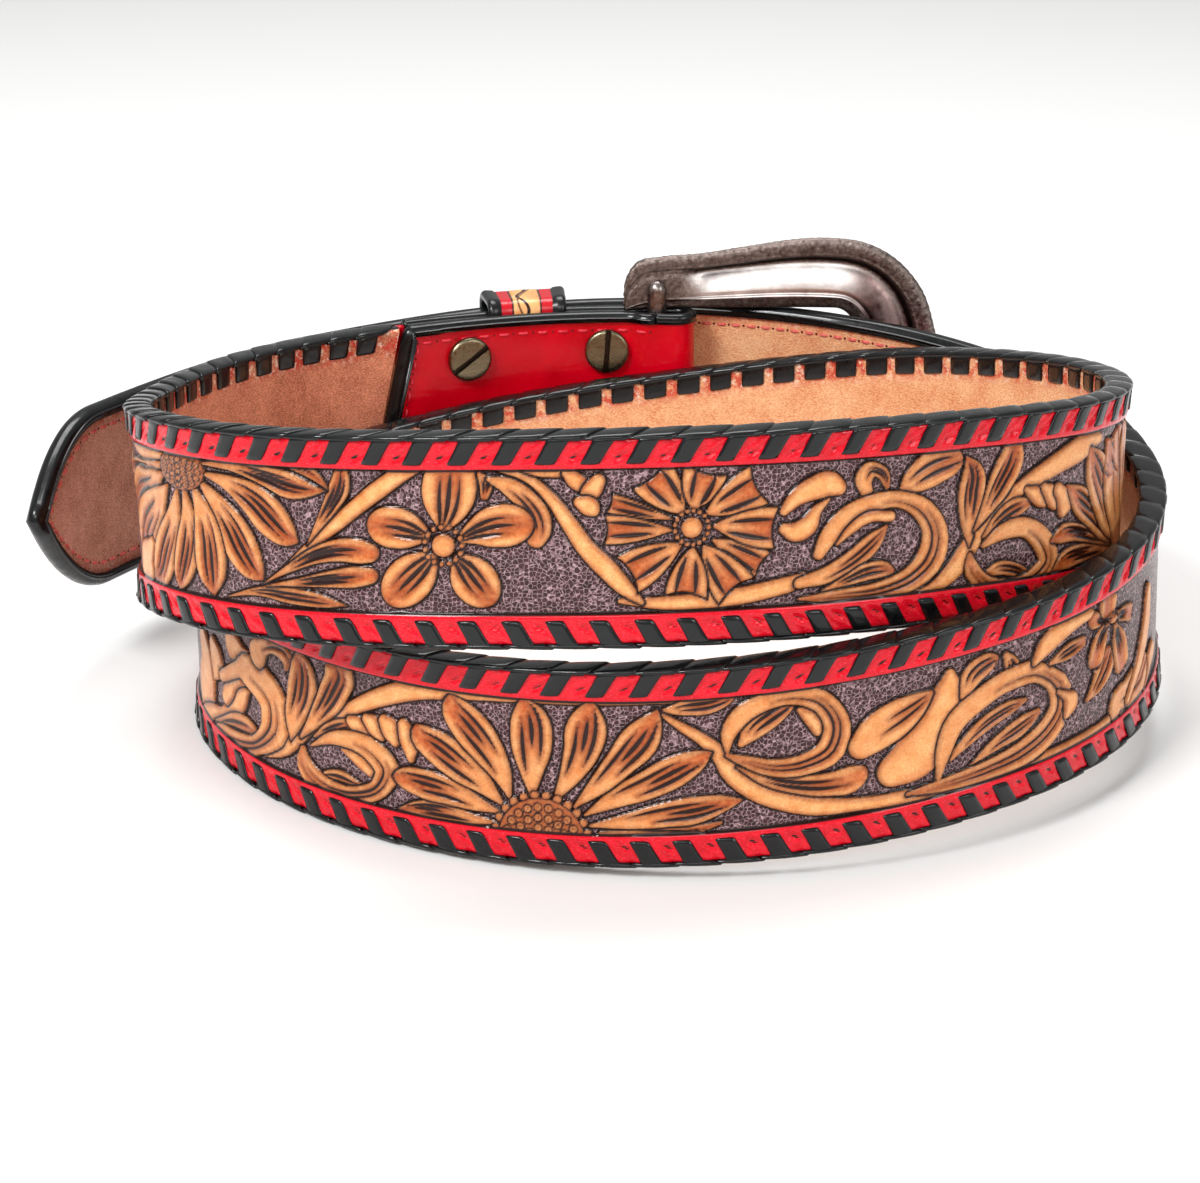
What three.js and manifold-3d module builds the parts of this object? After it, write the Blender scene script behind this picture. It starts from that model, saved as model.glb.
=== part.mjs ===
// Western tooled belt: a laced strap lying in a coil of two turns, fastened by its own buckle.
// Millimetres, +Z up. The coil rests on Z = 0 and the buckle is at the far side (+Y).
import * as THREE from "three";
import { mergeVertices } from "three/addons/utils/BufferGeometryUtils.js";
import Module from "manifold-3d";

const wasm = await Module();
wasm.setup();

// Strap
const strap_width = 38;        // over the laced edges, a belt of one inch and a half
const leather_thick = 3.6;     // tooled leather and its lining leather together
const lace_thick = 0.8;        // flat lace wrapped over each edge
const lace_reach = 5.2;        // how far each wrap comes in over the face
const fit_gap = 0.3;           // clearance between pieces that touch
const loop_gap = 0.8;          // free space between two turns of the coil
const crest_bevel = 1.1;       // rounding of the laced edge
const edge_bevel = 0.5;        // rounding of the leather's own edge

// Coil
const coil_half_length = 88;
const coil_half_depth = 76;
const turn_steps = 44;         // sections in one turn
const lap_length = 12;         // each billet is let into the end of the tooled strap

// Buckle billet
const billet_thick = 1.6;
const panel_length = 59;       // turned-back end, from the bar to its bound end at the top edge
const panel_slant = 9.3;       // how much further the end reaches at the bottom edge
const panel_corner = 3;
const panel_inset = 1.7;       // the leather's end stands this far inside its binding
const slot_height = 7.5;       // the prong's slot through the fold
const slot_length = 15;
const fold_slack = 4.2;        // the fold stands this far clear of the bar's middle
const fold_sections = 8;
const leg_closed = 6;          // the legs have closed up this far behind the bar
const leg_sections = 6;
const closing_shares = [0, 0.4, 0.7, 1];
const skew_start = 0.8;        // the turned-back end starts to slant at this share of its straight part
const slant_fade = 4;          // the tooled end's slant dies away over this many of its own lengths

// Black edge binding
const binding_thick = 0.6;
const binding_gap = 0.25;
const binding_reach = 3.6;
const binding_roundness = 0.55;
const lining_roundness = 0.5;

// Tip billet
const tip_thick = 2.2;
const tip_point = 34;          // length of the pointed end
const tip_binding_thick = 0.6;
const tip_binding_reach = 2.8;
const point_sections = 8;
const point_fullness = 1.05;   // below one, the point is blunter
const point_crowding = 1.25;   // above one, its sections crowd towards the apex
const point_margin = 0.12;     // keeps the last section short of the apex
const neck_length = 4;         // from the lap to the billet's full thickness
const hole_diameter = 5.4;
const hole_pitch = 25.4;
const holes_each_side = 2;
const prong_hole_ahead = 4.6;  // the prong's hole, in front of the bar

// Keeper
const keeper_width = 17.5;
const keeper_thick = 1.2;
const keeper_place = 28.5;     // from the bar to the keeper's middle
const keeper_slack = 1;        // room over the strap's edges
const keeper_corner = 1.5;
const keeper_bends = 2;        // sections in each corner, after its first

// Screws
const screw_head = 9.6;
const screw_head_thick = 1.6;
const screw_back_thick = 1;
const screw_rim = 0.3;
const screw_post = 4.4;
const screw_slot = 1.2;
const screw_slot_depth = 0.7;
const screw_near = 11;         // from the bar to the nearer pair
const screw_far = 43;
const screw_row = 10.4;        // each row's distance from the strap's middle line

// Buckle
const buckle_length = 62.8;    // from the bar to the broad end
const buckle_heel = 7.2;       // what the rails reach beyond the bar
const buckle_half_height = 36.2;
const buckle_drop = 1.7;       // the buckle hangs this far below the strap's middle line
const window_half_height = 20.6;
const buckle_end_width = 17.5; // width of the broad end's rim
const window_corner = 7;
const window_side_share = 0.6; // the window's straight side takes this share of each rail's sections
const window_along_power = 0.9;
const window_up_power = 0.7;
const heel_wall = 0.3;
const frame_depth = 5.2;       // from the back rim to the crown
const frame_bow = 2.2;         // bulge of the frame between its ends
const frame_lift = -0.6;       // where the back rim stands at the bar, outward from its middle
const frame_sections = 44;
const seat_share = 0.75;       // share of the window's corner that the seat lies inside the broad end
const hollow_start = 4;        // the rail's hollow opens between these distances from the bar
const hollow_full = 12;
const bar_diameter = 4.2;
const bar_half_height = 27.3;
const bar_end_round = 0.5;
const bar_end_share = 0.7;
const round_sides = 14;
const bore_sides = 12;
const prong_diameter = 2.6;
const prong_sections = 26;
const prong_sides = 8;
const prong_taper = 0.45;
const taper_start = 0.86;
const hook_start = 1.72;       // the hook round the bar, in half turns
const hook_step = 0.2;
const hook_sections = 6;

// Where the bar and the ends of the pieces lie along the strap, in turns of the coil.
// A whole number is the middle of the far side, and the strap runs on to the left from there.
const bar_turn = -0.0036;
const tooled_end_turn = 1.82;
const tip_turn = 2.268;

// Route of the strap's middle surface.
// layer: how far outside the base oval, in layer pitches
// rise: height of the strap's lower edge, as a share of the strap's width
// lean: how far the strap leans outward, as a share of its height
const route = [
  { turn: -0.125, layer: 1.5, rise: 0.51, lean: 0 },
  { turn: 0, layer: 1.5, rise: 0.505, lean: 0 },
  { turn: 0.125, layer: 0.6, rise: 0.52, lean: 0.01 },
  { turn: 0.25, layer: -0.25, rise: 0.66, lean: 0.02 },
  { turn: 0.375, layer: 0.9, rise: 0.985, lean: 0 },
  { turn: 0.5, layer: 0, rise: 1.14, lean: -0.008 },
  { turn: 0.625, layer: -0.35, rise: 1.07, lean: 0.008 },
  { turn: 0.75, layer: 1.2, rise: 0.845, lean: -0.005 },
  { turn: 0.875, layer: 0.6, rise: 0.545, lean: -0.005 },
  { turn: 1, layer: 0.2, rise: 0.18, lean: -0.005 },
  { turn: 1.125, layer: -0.75, rise: 0, lean: -0.005 },
  { turn: 1.25, layer: -1.3, rise: 0, lean: 0 },
  { turn: 1.375, layer: -1.3, rise: 0, lean: 0.018 },
  { turn: 1.5, layer: -0.4, rise: 0.04, lean: 0.047 },
  { turn: 1.625, layer: 0.95, rise: 0.15, lean: -0.008 },
  { turn: 1.75, layer: 2.55, rise: 0.255, lean: -0.037 },
  { turn: 1.875, layer: 3, rise: 0.445, lean: -0.016 },
  { turn: 2, layer: 2.85, rise: 0.505, lean: 0 },
  { turn: 2.125, layer: 2.05, rise: 0.45, lean: 0.01 },
  { turn: 2.25, layer: 3.35, rise: 0.44, lean: 0.018 },
  { turn: 2.375, layer: 3.8, rise: 1.22, lean: 0.016 },
];

// Outline of the buckle's upper rail: along from the bar, and up from its middle line,
// as shares of the buckle's length and half height.
const buckle_outline = [
  { along: -0.115, up: 0.6 },
  { along: -0.108, up: 0.76 },
  { along: -0.072, up: 0.855 },
  { along: 0.01, up: 0.885 },
  { along: 0.14, up: 0.902 },
  { along: 0.29, up: 0.94 },
  { along: 0.45, up: 0.985 },
  { along: 0.585, up: 1 },
  { along: 0.7, up: 0.98 },
  { along: 0.82, up: 0.88 },
  { along: 0.905, up: 0.72 },
  { along: 0.965, up: 0.44 },
  { along: 1, up: 0 },
];

// Cross-section of the rail: across from the outer edge to the window, and out from the back rim,
// as shares of the rail's width and the frame's depth. The last four points are the hollow.
const rail_section = [
  { across: 0, out: 0.12 },
  { across: 0.04, out: 0.5 },
  { across: 0.25, out: 0.92 },
  { across: 0.55, out: 1 },
  { across: 0.85, out: 0.75 },
  { across: 1, out: 0.35 },
  { across: 1, out: 0.06 },
  { across: 0.84, out: 0.06, hollow: 0 },
  { across: 0.72, out: 0.06, hollow: 0.42 },
  { across: 0.4, out: 0.06, hollow: 0.5 },
  { across: 0.18, out: 0.02, hollow: 0.4 },
  { across: 0.08, out: 0, hollow: 0 },
];

// Middle line of the prong past its hook. ahead is a share of the hole's place or of the buckle's
// length, level is what the prong passes there, and lift is how far over it the line runs.
const prong_path = [
  { by: "hole", ahead: 0.3, level: "hook", lift: 0.5 },
  { by: "hole", ahead: 0.9, level: "under_tip", lift: -0.4 },
  { by: "hole", ahead: 1, level: "in_tip", lift: 0 },
  { by: "hole", ahead: 1.35, level: "over_tip", lift: -0.3 },
  { by: "hole", ahead: 2.4, level: "over_tip", lift: 0.4 },
  { by: "buckle", ahead: 0.55, level: "between", lift: 0.8 },
  { by: "buckle", ahead: 0.8, level: "over_end", lift: 0.6 },
  { by: "buckle", ahead: 0.93, level: "over_end", lift: 0.2 },
];

const colours = {
  tooled: 0xc98245, lace: 0x17191a, panel: 0xb3121d, tip: 0x9a5b43,
  keeper: 0xc4553c, screw: 0x8a8073, buckle: 0x6b605b,
};

const TAU = 2 * Math.PI;
const weld = 1e-4;             // corners this close are one corner
const hair = 1e-4;             // two sections a hair apart make a step
const pace_step = 0.002;
const grid_margin = 0.15;      // a shared section this near an end is left out
const over_lacing = leather_thick + 2 * (fit_gap + lace_thick);
const layer_pitch = over_lacing + loop_gap;
const leather_half = leather_thick / 2;
const leather_inset = lace_thick + fit_gap;
const half_gap = fit_gap / 2;

function smooth(from, to, x) {
  const s = Math.min(1, Math.max(0, (x - from) / (to - from)));
  return s * s * (3 - 2 * s);
}

// Catmull-Rom curve through one column of the route.
function along_route(turn, column) {
  let i = 0;
  while (i < route.length - 2 && route[i + 1].turn <= turn) i += 1;
  const before = route[Math.max(0, i - 1)][column];
  const start = route[i][column];
  const end = route[i + 1][column];
  const after = route[Math.min(route.length - 1, i + 2)][column];
  const f = (turn - route[i].turn) / (route[i + 1].turn - route[i].turn);
  const slope_in = (end - before) / 2;
  const slope_out = (after - start) / 2;
  const f2 = f * f;
  const f3 = f2 * f;
  return (2 * f3 - 3 * f2 + 1) * start + (f3 - 2 * f2 + f) * slope_in
    + (3 * f2 - 2 * f3) * end + (f3 - f2) * slope_out;
}

// Point of the base oval at a turn, and the unit vector outward from it.
function oval(turn) {
  const angle = TAU * turn;
  const sine = Math.sin(angle);
  const cosine = Math.cos(angle);
  const point = new THREE.Vector2(-coil_half_length * sine, coil_half_depth * cosine);
  const along = new THREE.Vector2(-coil_half_length * cosine, -coil_half_depth * sine).normalize();
  return { point, outward: new THREE.Vector2(along.y, -along.x) };
}

// A point of the strap's own space: turn along it, millimetres outward, millimetres up its width.
function place(turn, out, up) {
  const { point, outward } = oval(turn);
  const reach = along_route(turn, "layer") * layer_pitch + out + along_route(turn, "lean") * up;
  const floor = Math.max(0, along_route(turn, "rise")) * strap_width;
  return new THREE.Vector3(point.x + outward.x * reach, point.y + outward.y * reach, floor + up);
}

// Millimetres of strap in one turn, near a given turn.
function pace(turn) {
  const ahead = place(turn + pace_step, 0, 0);
  return ahead.distanceTo(place(turn - pace_step, 0, 0)) / (2 * pace_step);
}

// Turn reached by going a number of millimetres along the strap.
function go(turn, distance) {
  return turn + distance / pace(turn);
}

// Closed solid through rings of points. flat holds one ring's corners in the plane, for the caps.
function loft(rings, flat, closed = false) {
  const count = rings[0].length;
  const positions = rings.flat().flatMap((p) => [p.x, p.y, p.z]);
  const index = [];
  const last = closed ? rings.length : rings.length - 1;
  for (let i = 0; i < last; i += 1) {
    const a = i * count;
    const b = ((i + 1) % rings.length) * count;
    for (let k = 0; k < count; k += 1) {
      const n = (k + 1) % count;
      index.push(a + k, b + k, b + n, a + k, b + n, a + n);
    }
  }
  if (!closed) {
    const end = (rings.length - 1) * count;
    const facing = Math.sign(THREE.ShapeUtils.area(flat));
    for (const [p, q, r] of THREE.ShapeUtils.triangulateShape(flat, [])) {
      const same = Math.sign(THREE.ShapeUtils.area([flat[p], flat[q], flat[r]])) === facing;
      const [second, third] = same ? [q, r] : [r, q];
      index.push(p, second, third, end + p, end + third, end + second);
    }
  }
  const geometry = new THREE.BufferGeometry();
  geometry.setAttribute("position", new THREE.Float32BufferAttribute(positions, 3));
  geometry.setIndex(index);
  return volume(geometry) < 0 ? turned(geometry) : geometry;
}

function volume(geometry) {
  const p = geometry.attributes.position;
  const a = new THREE.Vector3();
  const b = new THREE.Vector3();
  const c = new THREE.Vector3();
  let sum = 0;
  for (let i = 0; i < geometry.index.count; i += 3) {
    a.fromBufferAttribute(p, geometry.index.getX(i));
    b.fromBufferAttribute(p, geometry.index.getX(i + 1));
    c.fromBufferAttribute(p, geometry.index.getX(i + 2));
    sum += a.dot(b.cross(c)) / 6;
  }
  return sum;
}

function turned(geometry) {
  const list = Array.from(geometry.index.array);
  for (let i = 0; i < list.length; i += 3) {
    [list[i + 1], list[i + 2]] = [list[i + 2], list[i + 1]];
  }
  geometry.setIndex(list);
  return geometry;
}

// Manifold solid of a geometry, and back.
function solid(geometry) {
  const bare = geometry.clone();
  bare.deleteAttribute("normal");
  bare.deleteAttribute("uv");
  const merged = mergeVertices(bare, weld);
  return new wasm.Manifold(new wasm.Mesh({
    numProp: 3,
    vertProperties: new Float32Array(merged.attributes.position.array),
    triVerts: new Uint32Array(merged.index.array),
  }));
}

function geometry_of(body) {
  const mesh = body.getMesh();
  const geometry = new THREE.BufferGeometry();
  geometry.setAttribute("position", new THREE.Float32BufferAttribute(mesh.vertProperties, 3));
  geometry.setIndex(Array.from(mesh.triVerts));
  return geometry;
}

function cut(geometry, tools) {
  let body = solid(geometry);
  for (const tool of tools) body = body.subtract(solid(tool));
  return geometry_of(body);
}

const group = new THREE.Group();
const belt = new THREE.Group();
group.add(belt);

function leather(color, roughness) {
  return new THREE.MeshStandardMaterial({ color, roughness, metalness: 0 });
}

function metal(color, roughness) {
  return new THREE.MeshStandardMaterial({ color, roughness, metalness: 1 });
}

function add(name, geometry, material) {
  const mesh = new THREE.Mesh(geometry, material);
  mesh.name = name;
  belt.add(mesh);
  return mesh;
}

// Both ends of a stretch and the coil's shared sections between them.
function turns(from, to) {
  const margin = grid_margin / turn_steps;
  const list = [from];
  for (let i = Math.ceil((from + margin) * turn_steps); i / turn_steps < to - margin; i += 1) {
    list.push(i / turn_steps);
  }
  return [...list, to];
}

// Rectangle with bevelled corners, in outward and up coordinates.
function strap_section(inner, outer, low, high, bevel = edge_bevel) {
  return [
    [inner, low + bevel], [inner, high - bevel], [inner + bevel, high], [outer - bevel, high],
    [outer, high - bevel], [outer, low + bevel], [outer - bevel, low], [inner + bevel, low],
  ];
}

function flat_of(section) {
  return section.map(([x, y]) => new THREE.Vector2(x, y));
}

// The slanted line where the tooled strap starts, beside the bound end of the turned-back panel.
const panel_end_turn = go(bar_turn, panel_length);
const slant_turns = panel_slant / pace(panel_end_turn);
const strap_start_turn = go(panel_end_turn, fit_gap);

function slanted(turn, up) {
  const fade_end = strap_start_turn + slant_fade * slant_turns;
  const fade = 1 - smooth(strap_start_turn, fade_end, turn);
  return turn + slant_turns * (1 - up / strap_width) * fade;
}

// Tooled strap. Its inner half starts first, and its outer half ends last, for the two laps.
const low_edge = leather_inset;
const high_edge = strap_width - leather_inset;
const start_lap_turn = go(strap_start_turn, lap_length + panel_slant);
const end_lap_turn = go(tooled_end_turn, lap_length);

function tooled_body() {
  const whole = strap_section(-leather_half, leather_half, low_edge, high_edge);
  const inner_half = strap_section(-leather_half, -half_gap, low_edge, high_edge);
  const outer_half = strap_section(half_gap, leather_half, low_edge, high_edge);
  const rings = [];
  const ring = (turn, section) => {
    rings.push(section.map(([out, up]) => place(slanted(turn, up), out, up)));
  };
  for (const turn of turns(strap_start_turn, start_lap_turn)) ring(turn, inner_half);
  for (const turn of turns(start_lap_turn + hair, tooled_end_turn)) ring(turn, whole);
  for (const turn of turns(tooled_end_turn + hair, end_lap_turn)) ring(turn, outer_half);
  return loft(rings, flat_of(whole));
}

// Laced edge: the wraps close up into one rolled channel over the edge of the leather.
function lace_section(top) {
  const outer = over_lacing / 2;
  const inner = leather_half + fit_gap;
  const half = [[outer, lace_reach], [outer, crest_bevel], [outer - crest_bevel, 0]];
  const lining = [[inner, lace_reach], [inner, lace_thick]];
  const section = [
    ...half, ...half.map(([x, y]) => [-x, y]).reverse(),
    ...lining.map(([x, y]) => [-x, y]), ...lining.reverse(),
  ];
  return section.map(([x, y]) => [x, top ? strap_width - y : y]);
}

function laced_edge(top) {
  const section = lace_section(top);
  const rings = turns(strap_start_turn, end_lap_turn).map((turn) => (
    section.map(([out, up]) => place(slanted(turn, up), out, up))
  ));
  return loft(rings, flat_of(section));
}

const black_lace = leather(colours.lace, 0.35);
add("tooled_body", tooled_body(), leather(colours.tooled, 0.5));
add("lace_top", laced_edge(true), black_lace);
add("lace_bottom", laced_edge(false), black_lace);

// Buckle billet: the outer leg, the fold round the bar and the turned-back inner leg.
const bar_radius = bar_diameter / 2;
const billet_half = billet_thick / 2;
const binding_half = billet_half + binding_gap + binding_thick;
const inner_leg = -binding_half;
const keeper_inner = inner_leg + binding_half + fit_gap;
const outer_leg = keeper_inner + keeper_thick + fit_gap + billet_half;
const fold_radius = bar_radius + fit_gap + billet_half;

// Distance of each leg from the bar's middle plane, by distance behind the bar.
function leg_offset(behind, side) {
  const closed = side > 0 ? outer_leg : inner_leg;
  const shut = smooth(bar_radius, leg_closed, behind);
  return side * fold_radius + (closed - side * fold_radius) * shut;
}

// Where both legs and the binding have their sections, behind the bar.
const leg_straight = panel_length - lap_length;
const leg_stations = closing_shares.map((share) => leg_closed * share);
for (let i = 1; i <= leg_sections; i += 1) {
  leg_stations.push(leg_closed + (leg_straight - leg_closed) * i / leg_sections);
}

function near_bar(behind, out, up) {
  return place(bar_turn + behind / pace(bar_turn), out, up);
}

function buckle_billet() {
  const rings = [];
  const thick = (turn, centre, half) => {
    const section = strap_section(centre - half, centre + half, low_edge, high_edge);
    rings.push(section.map(([out, up]) => place(slanted(turn, up), out, up)));
  };
  const lap_middle = (half_gap + leather_half) / 2;
  const lap_half = (leather_half - half_gap) / 2;
  const tongue_end = go(start_lap_turn, -fit_gap);
  for (const turn of turns(strap_start_turn, tongue_end).reverse()) {
    thick(turn, lap_middle, lap_half);
  }
  const leg = (side, behind, inset = 0) => {
    const centre = leg_offset(behind, side);
    const section = strap_section(-billet_half, billet_half, low_edge + inset, high_edge - inset);
    const skew = smooth(leg_straight * skew_start, panel_length, behind) * panel_slant;
    rings.push(section.map(([across, up]) => (
      near_bar(behind + skew * (1 - up / strap_width), centre + across * side, up)
    )));
  };
  for (const behind of [...leg_stations].reverse()) leg(1, behind);
  for (let i = 0; i <= fold_sections; i += 1) {
    const angle = Math.PI * i / fold_sections;
    const section = strap_section(-billet_half, billet_half, low_edge, high_edge);
    rings.push(section.map(([across, up]) => {
      const radius = fold_radius + across;
      return near_bar(-fold_slack - radius * Math.sin(angle), radius * Math.cos(angle), up);
    }));
  }
  for (const behind of leg_stations) leg(-1, behind);
  leg(-1, panel_length - 2 * panel_inset);
  leg(-1, panel_length - panel_inset, panel_inset);
  return loft(rings, flat_of(strap_section(-billet_half, billet_half, low_edge, high_edge)));
}

// A rigid piece's own frame on the strap: X back along the strap, Y outward, Z up.
function frame_at(turn, out, up) {
  const back = place(turn - pace_step, 0, 0).sub(place(turn + pace_step, 0, 0)).setZ(0).normalize();
  const matrix = new THREE.Matrix4().makeBasis(
    back,
    new THREE.Vector3(-back.y, back.x, 0),
    new THREE.Vector3(0, 0, 1),
  );
  return matrix.setPosition(place(turn, out, up));
}

const middle = strap_width / 2;
const screw_places = [
  { behind: screw_near, up: middle + screw_row, slot: 1.5 },
  { behind: screw_far, up: middle + screw_row, slot: 0.6 },
  { behind: screw_near, up: middle - screw_row, slot: 0.3 },
  { behind: screw_far, up: middle - screw_row, slot: 2.2 },
];

function screw_matrix(spot) {
  return frame_at(bar_turn + spot.behind / pace(bar_turn), 0, spot.up);
}

function across_strap(radius, length, sides) {
  return new THREE.CylinderGeometry(radius, radius, length, sides);
}

const billet_bore = screw_post / 2 + fit_gap;
const prong_slot = new THREE.BoxGeometry(slot_length, 4 * fold_radius, slot_height);
prong_slot.translate(slot_length / 2 - bar_radius - prong_diameter - fit_gap, 0, 0);
prong_slot.applyMatrix4(frame_at(bar_turn, 0, middle));
const billet_tools = screw_places.map((spot) => (
  across_strap(billet_bore, 4 * fold_radius, bore_sides).applyMatrix4(screw_matrix(spot))
));
const billet_leather = leather(colours.panel, 0.25);
add("buckle_billet", cut(buckle_billet(), [prong_slot, ...billet_tools]), billet_leather);

// Binding: a channel folded over the leather, along an outline of the strap.
// outline gives points [behind or along, up], each with its inward direction; centre is its out place.
function bound_edge(outline, half, wall, reach, to_space) {
  const bevel = half * binding_roundness;
  const lining = bevel * lining_roundness;
  const inside = half - wall;
  const section = [
    [half, reach], [half, bevel], [half - bevel, 0],
    [-half + bevel, 0], [-half, bevel], [-half, reach],
    [-inside, reach], [-inside, wall + lining], [-inside + lining, wall],
    [inside - lining, wall], [inside, wall + lining], [inside, reach],
  ];
  const rings = outline.map(({ x, y, inward }) => section.map(([out, depth]) => (
    to_space(x + inward[0] * depth, out, y + inward[1] * depth)
  )));
  return loft(rings, flat_of(section));
}

// Outline of the turned-back panel's binding, from the bar along the top, round the end and back.
function panel_outline() {
  const points = [];
  const corner = panel_corner;
  const end = (up) => panel_length + panel_slant * (1 - up / strap_width);
  const top_end = end(strap_width) - corner;
  const low_end = end(0) - corner;
  const straight = leg_stations.filter((behind) => behind >= leg_closed);
  for (const x of [...straight, top_end]) {
    points.push({ x, y: strap_width, inward: [0, -1] });
  }
  const tilt = Math.atan2(panel_slant, strap_width);
  const bend = (cx, cy, from, to) => {
    const parts = 4;
    for (let i = 1; i <= parts; i += 1) {
      const angle = from + (to - from) * i / parts;
      const cosine = Math.cos(angle);
      const sine = Math.sin(angle);
      points.push({ x: cx + corner * cosine, y: cy + corner * sine, inward: [-cosine, -sine] });
    }
  };
  bend(top_end, strap_width - corner, Math.PI / 2, tilt);
  bend(low_end, corner, tilt, -Math.PI / 2);
  for (const x of [...straight].reverse()) {
    points.push({ x, y: 0, inward: [0, 1] });
  }
  return points;
}

const panel_binding = bound_edge(
  panel_outline(), binding_half, binding_thick, binding_reach,
  (behind, out, up) => near_bar(behind, leg_offset(behind, -1) + out, up),
);
add("panel_binding", panel_binding, black_lace);

// Tip billet with its adjusting holes, pointed at the end.
const tip_half = tip_thick / 2;
const tip_binding_half = tip_half + binding_gap + tip_binding_thick;
const tip_inset = tip_binding_thick + binding_gap;

// The two sides of the point meet at its apex, where the binding reaches in further.
const apex_slope = Math.PI / 2 * middle / tip_point;
const apex_reach = Math.hypot(1, apex_slope) / apex_slope;

// Half height of the pointed end, as a share, by its share of the way in from the point.
function point_share(share) {
  return Math.sin(Math.PI / 2 * Math.min(1, Math.max(0, share)) ** point_fullness);
}

const tip_pace = pace(tip_turn);
const point_start_turn = tip_turn - tip_point / tip_pace;

function tip_billet() {
  const half_height = middle - tip_inset;
  const rings = [];
  const ring = (turn, inner, outer, height) => {
    const bevel = Math.min(edge_bevel, height * 0.4);
    const section = strap_section(inner, outer, middle - height, middle + height, bevel);
    rings.push(section.map(([out, up]) => place(turn, out, up)));
  };
  const tongue_start = go(tooled_end_turn, fit_gap);
  ring(tongue_start, -leather_half, -half_gap, half_height);
  ring(go(end_lap_turn, fit_gap), -leather_half, -half_gap, half_height);
  for (const turn of turns(go(end_lap_turn, neck_length), point_start_turn)) {
    ring(turn, -tip_half, tip_half, half_height);
  }
  const tip_end_inset = (tip_inset + fit_gap) * apex_reach;
  const length = tip_point - tip_end_inset;
  for (let i = 1; i <= point_sections; i += 1) {
    const share = (1 - i / (point_sections + point_margin)) ** point_crowding;
    const turn = tip_turn - (tip_end_inset + length * share) / tip_pace;
    ring(turn, -tip_half, tip_half, half_height * point_share(share));
  }
  return loft(rings, flat_of(strap_section(-tip_half, tip_half, -middle, middle)));
}

// The prong goes through the middle hole, just in front of the bar.
const prong_hole_turn = 2 + bar_turn - prong_hole_ahead / pace(bar_turn);
const hole_tools = [];
for (let i = -holes_each_side; i <= holes_each_side; i += 1) {
  const tool = across_strap(hole_diameter / 2, 4 * tip_thick, bore_sides);
  tool.applyMatrix4(frame_at(go(prong_hole_turn, i * hole_pitch), 0, middle));
  hole_tools.push(tool);
}
add("tip_billet", cut(tip_billet(), hole_tools), leather(colours.tip, 0.8));

function tip_outline() {
  const from = go(end_lap_turn, neck_length + fit_gap);
  const top = turns(from, point_start_turn).map((turn) => (
    { x: turn, y: strap_width, inward: [0, -1] }
  ));
  const curve = (share) => [tip_turn - tip_point * share / tip_pace, middle * point_share(share)];
  for (let i = 1; i < point_sections; i += 1) {
    const share = (1 - i / point_sections) ** point_crowding;
    if (tip_point * share < tip_binding_reach * apex_reach) break;
    const [x, y] = curve(share);
    const [next_x, next_y] = curve(share * 0.98);
    const run = (next_x - x) * tip_pace;
    const rise = next_y - y;
    const size = Math.hypot(run, rise);
    top.push({ x, y: middle + y, inward: [rise / size / tip_pace, -run / size] });
  }
  const apex = { x: tip_turn, y: middle, inward: [-apex_reach / tip_pace, 0] };
  const low = top.map(({ x, y, inward }) => (
    { x, y: strap_width - y, inward: [inward[0], -inward[1]] }
  ));
  return [...top, apex, ...low.reverse()];
}

const tip_binding = bound_edge(
  tip_outline(), tip_binding_half, tip_binding_thick, tip_binding_reach, place,
);
add("tip_binding", tip_binding, black_lace);

// Keeper: a band round the outer leg of the billet and the tip billet.
function keeper() {
  const turn = bar_turn + keeper_place / pace(bar_turn);
  const tip_out = (along_route(turn + 2, "layer") - along_route(turn, "layer")) * layer_pitch;
  const corner = keeper_corner;
  const near = keeper_inner + keeper_thick + corner;
  const far = tip_out + tip_binding_half + fit_gap * 2 - corner;
  const low = corner - keeper_slack;
  const high = strap_width + keeper_slack - corner;
  const corners = [[far, high], [near, high], [near, low], [far, low]];
  const path = [];
  corners.forEach(([out, up], quarter) => {
    for (let i = 0; i <= keeper_bends; i += 1) {
      const angle = (quarter + i / keeper_bends) * Math.PI / 2;
      path.push({ out, up, cosine: Math.cos(angle), sine: Math.sin(angle) });
    }
  });
  const half = keeper_width / 2;
  const section = [
    [-half, corner], [0, corner], [half, corner],
    [half, corner + keeper_thick], [0, corner + keeper_thick], [-half, corner + keeper_thick],
  ];
  const rings = path.map(({ out, up, cosine, sine }) => section.map(([along, depth]) => (
    near_bar(keeper_place + along, out + cosine * depth, up + sine * depth)
  )));
  return loft(rings, flat_of(section), true);
}

add("keeper", keeper(), leather(colours.keeper, 0.45));

// Screw with a slotted head on the inside and a plain back head on the outer leg.
function screw(spot) {
  const seat = inner_leg - billet_half - fit_gap;
  const back_seat = outer_leg + billet_half + fit_gap;
  const head = screw_head / 2;
  const post = screw_post / 2;
  const rim = screw_rim;
  const face = seat - screw_head_thick;
  const back_face = back_seat + screw_back_thick;
  const profile = [
    [0, face], [head - 2 * rim, face], [head, face + 2 * rim], [head, seat],
    [post, seat], [post, back_seat], [head, back_seat],
    [head, back_face - rim], [head - rim, back_face], [0, back_face],
  ].map(([x, y]) => new THREE.Vector2(x, y));
  const turned_body = new THREE.LatheGeometry(profile, round_sides);
  const slot = new THREE.BoxGeometry(2 * screw_head, 2 * screw_slot_depth, screw_slot);
  slot.translate(0, face, 0);
  slot.rotateY(spot.slot);
  return cut(turned_body, [slot]);
}

screw_places.forEach((spot, i) => {
  const mesh = add(`screw_${i + 1}`, screw(spot), metal(colours.screw, 0.3));
  mesh.applyMatrix4(screw_matrix(spot));
});

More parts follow.
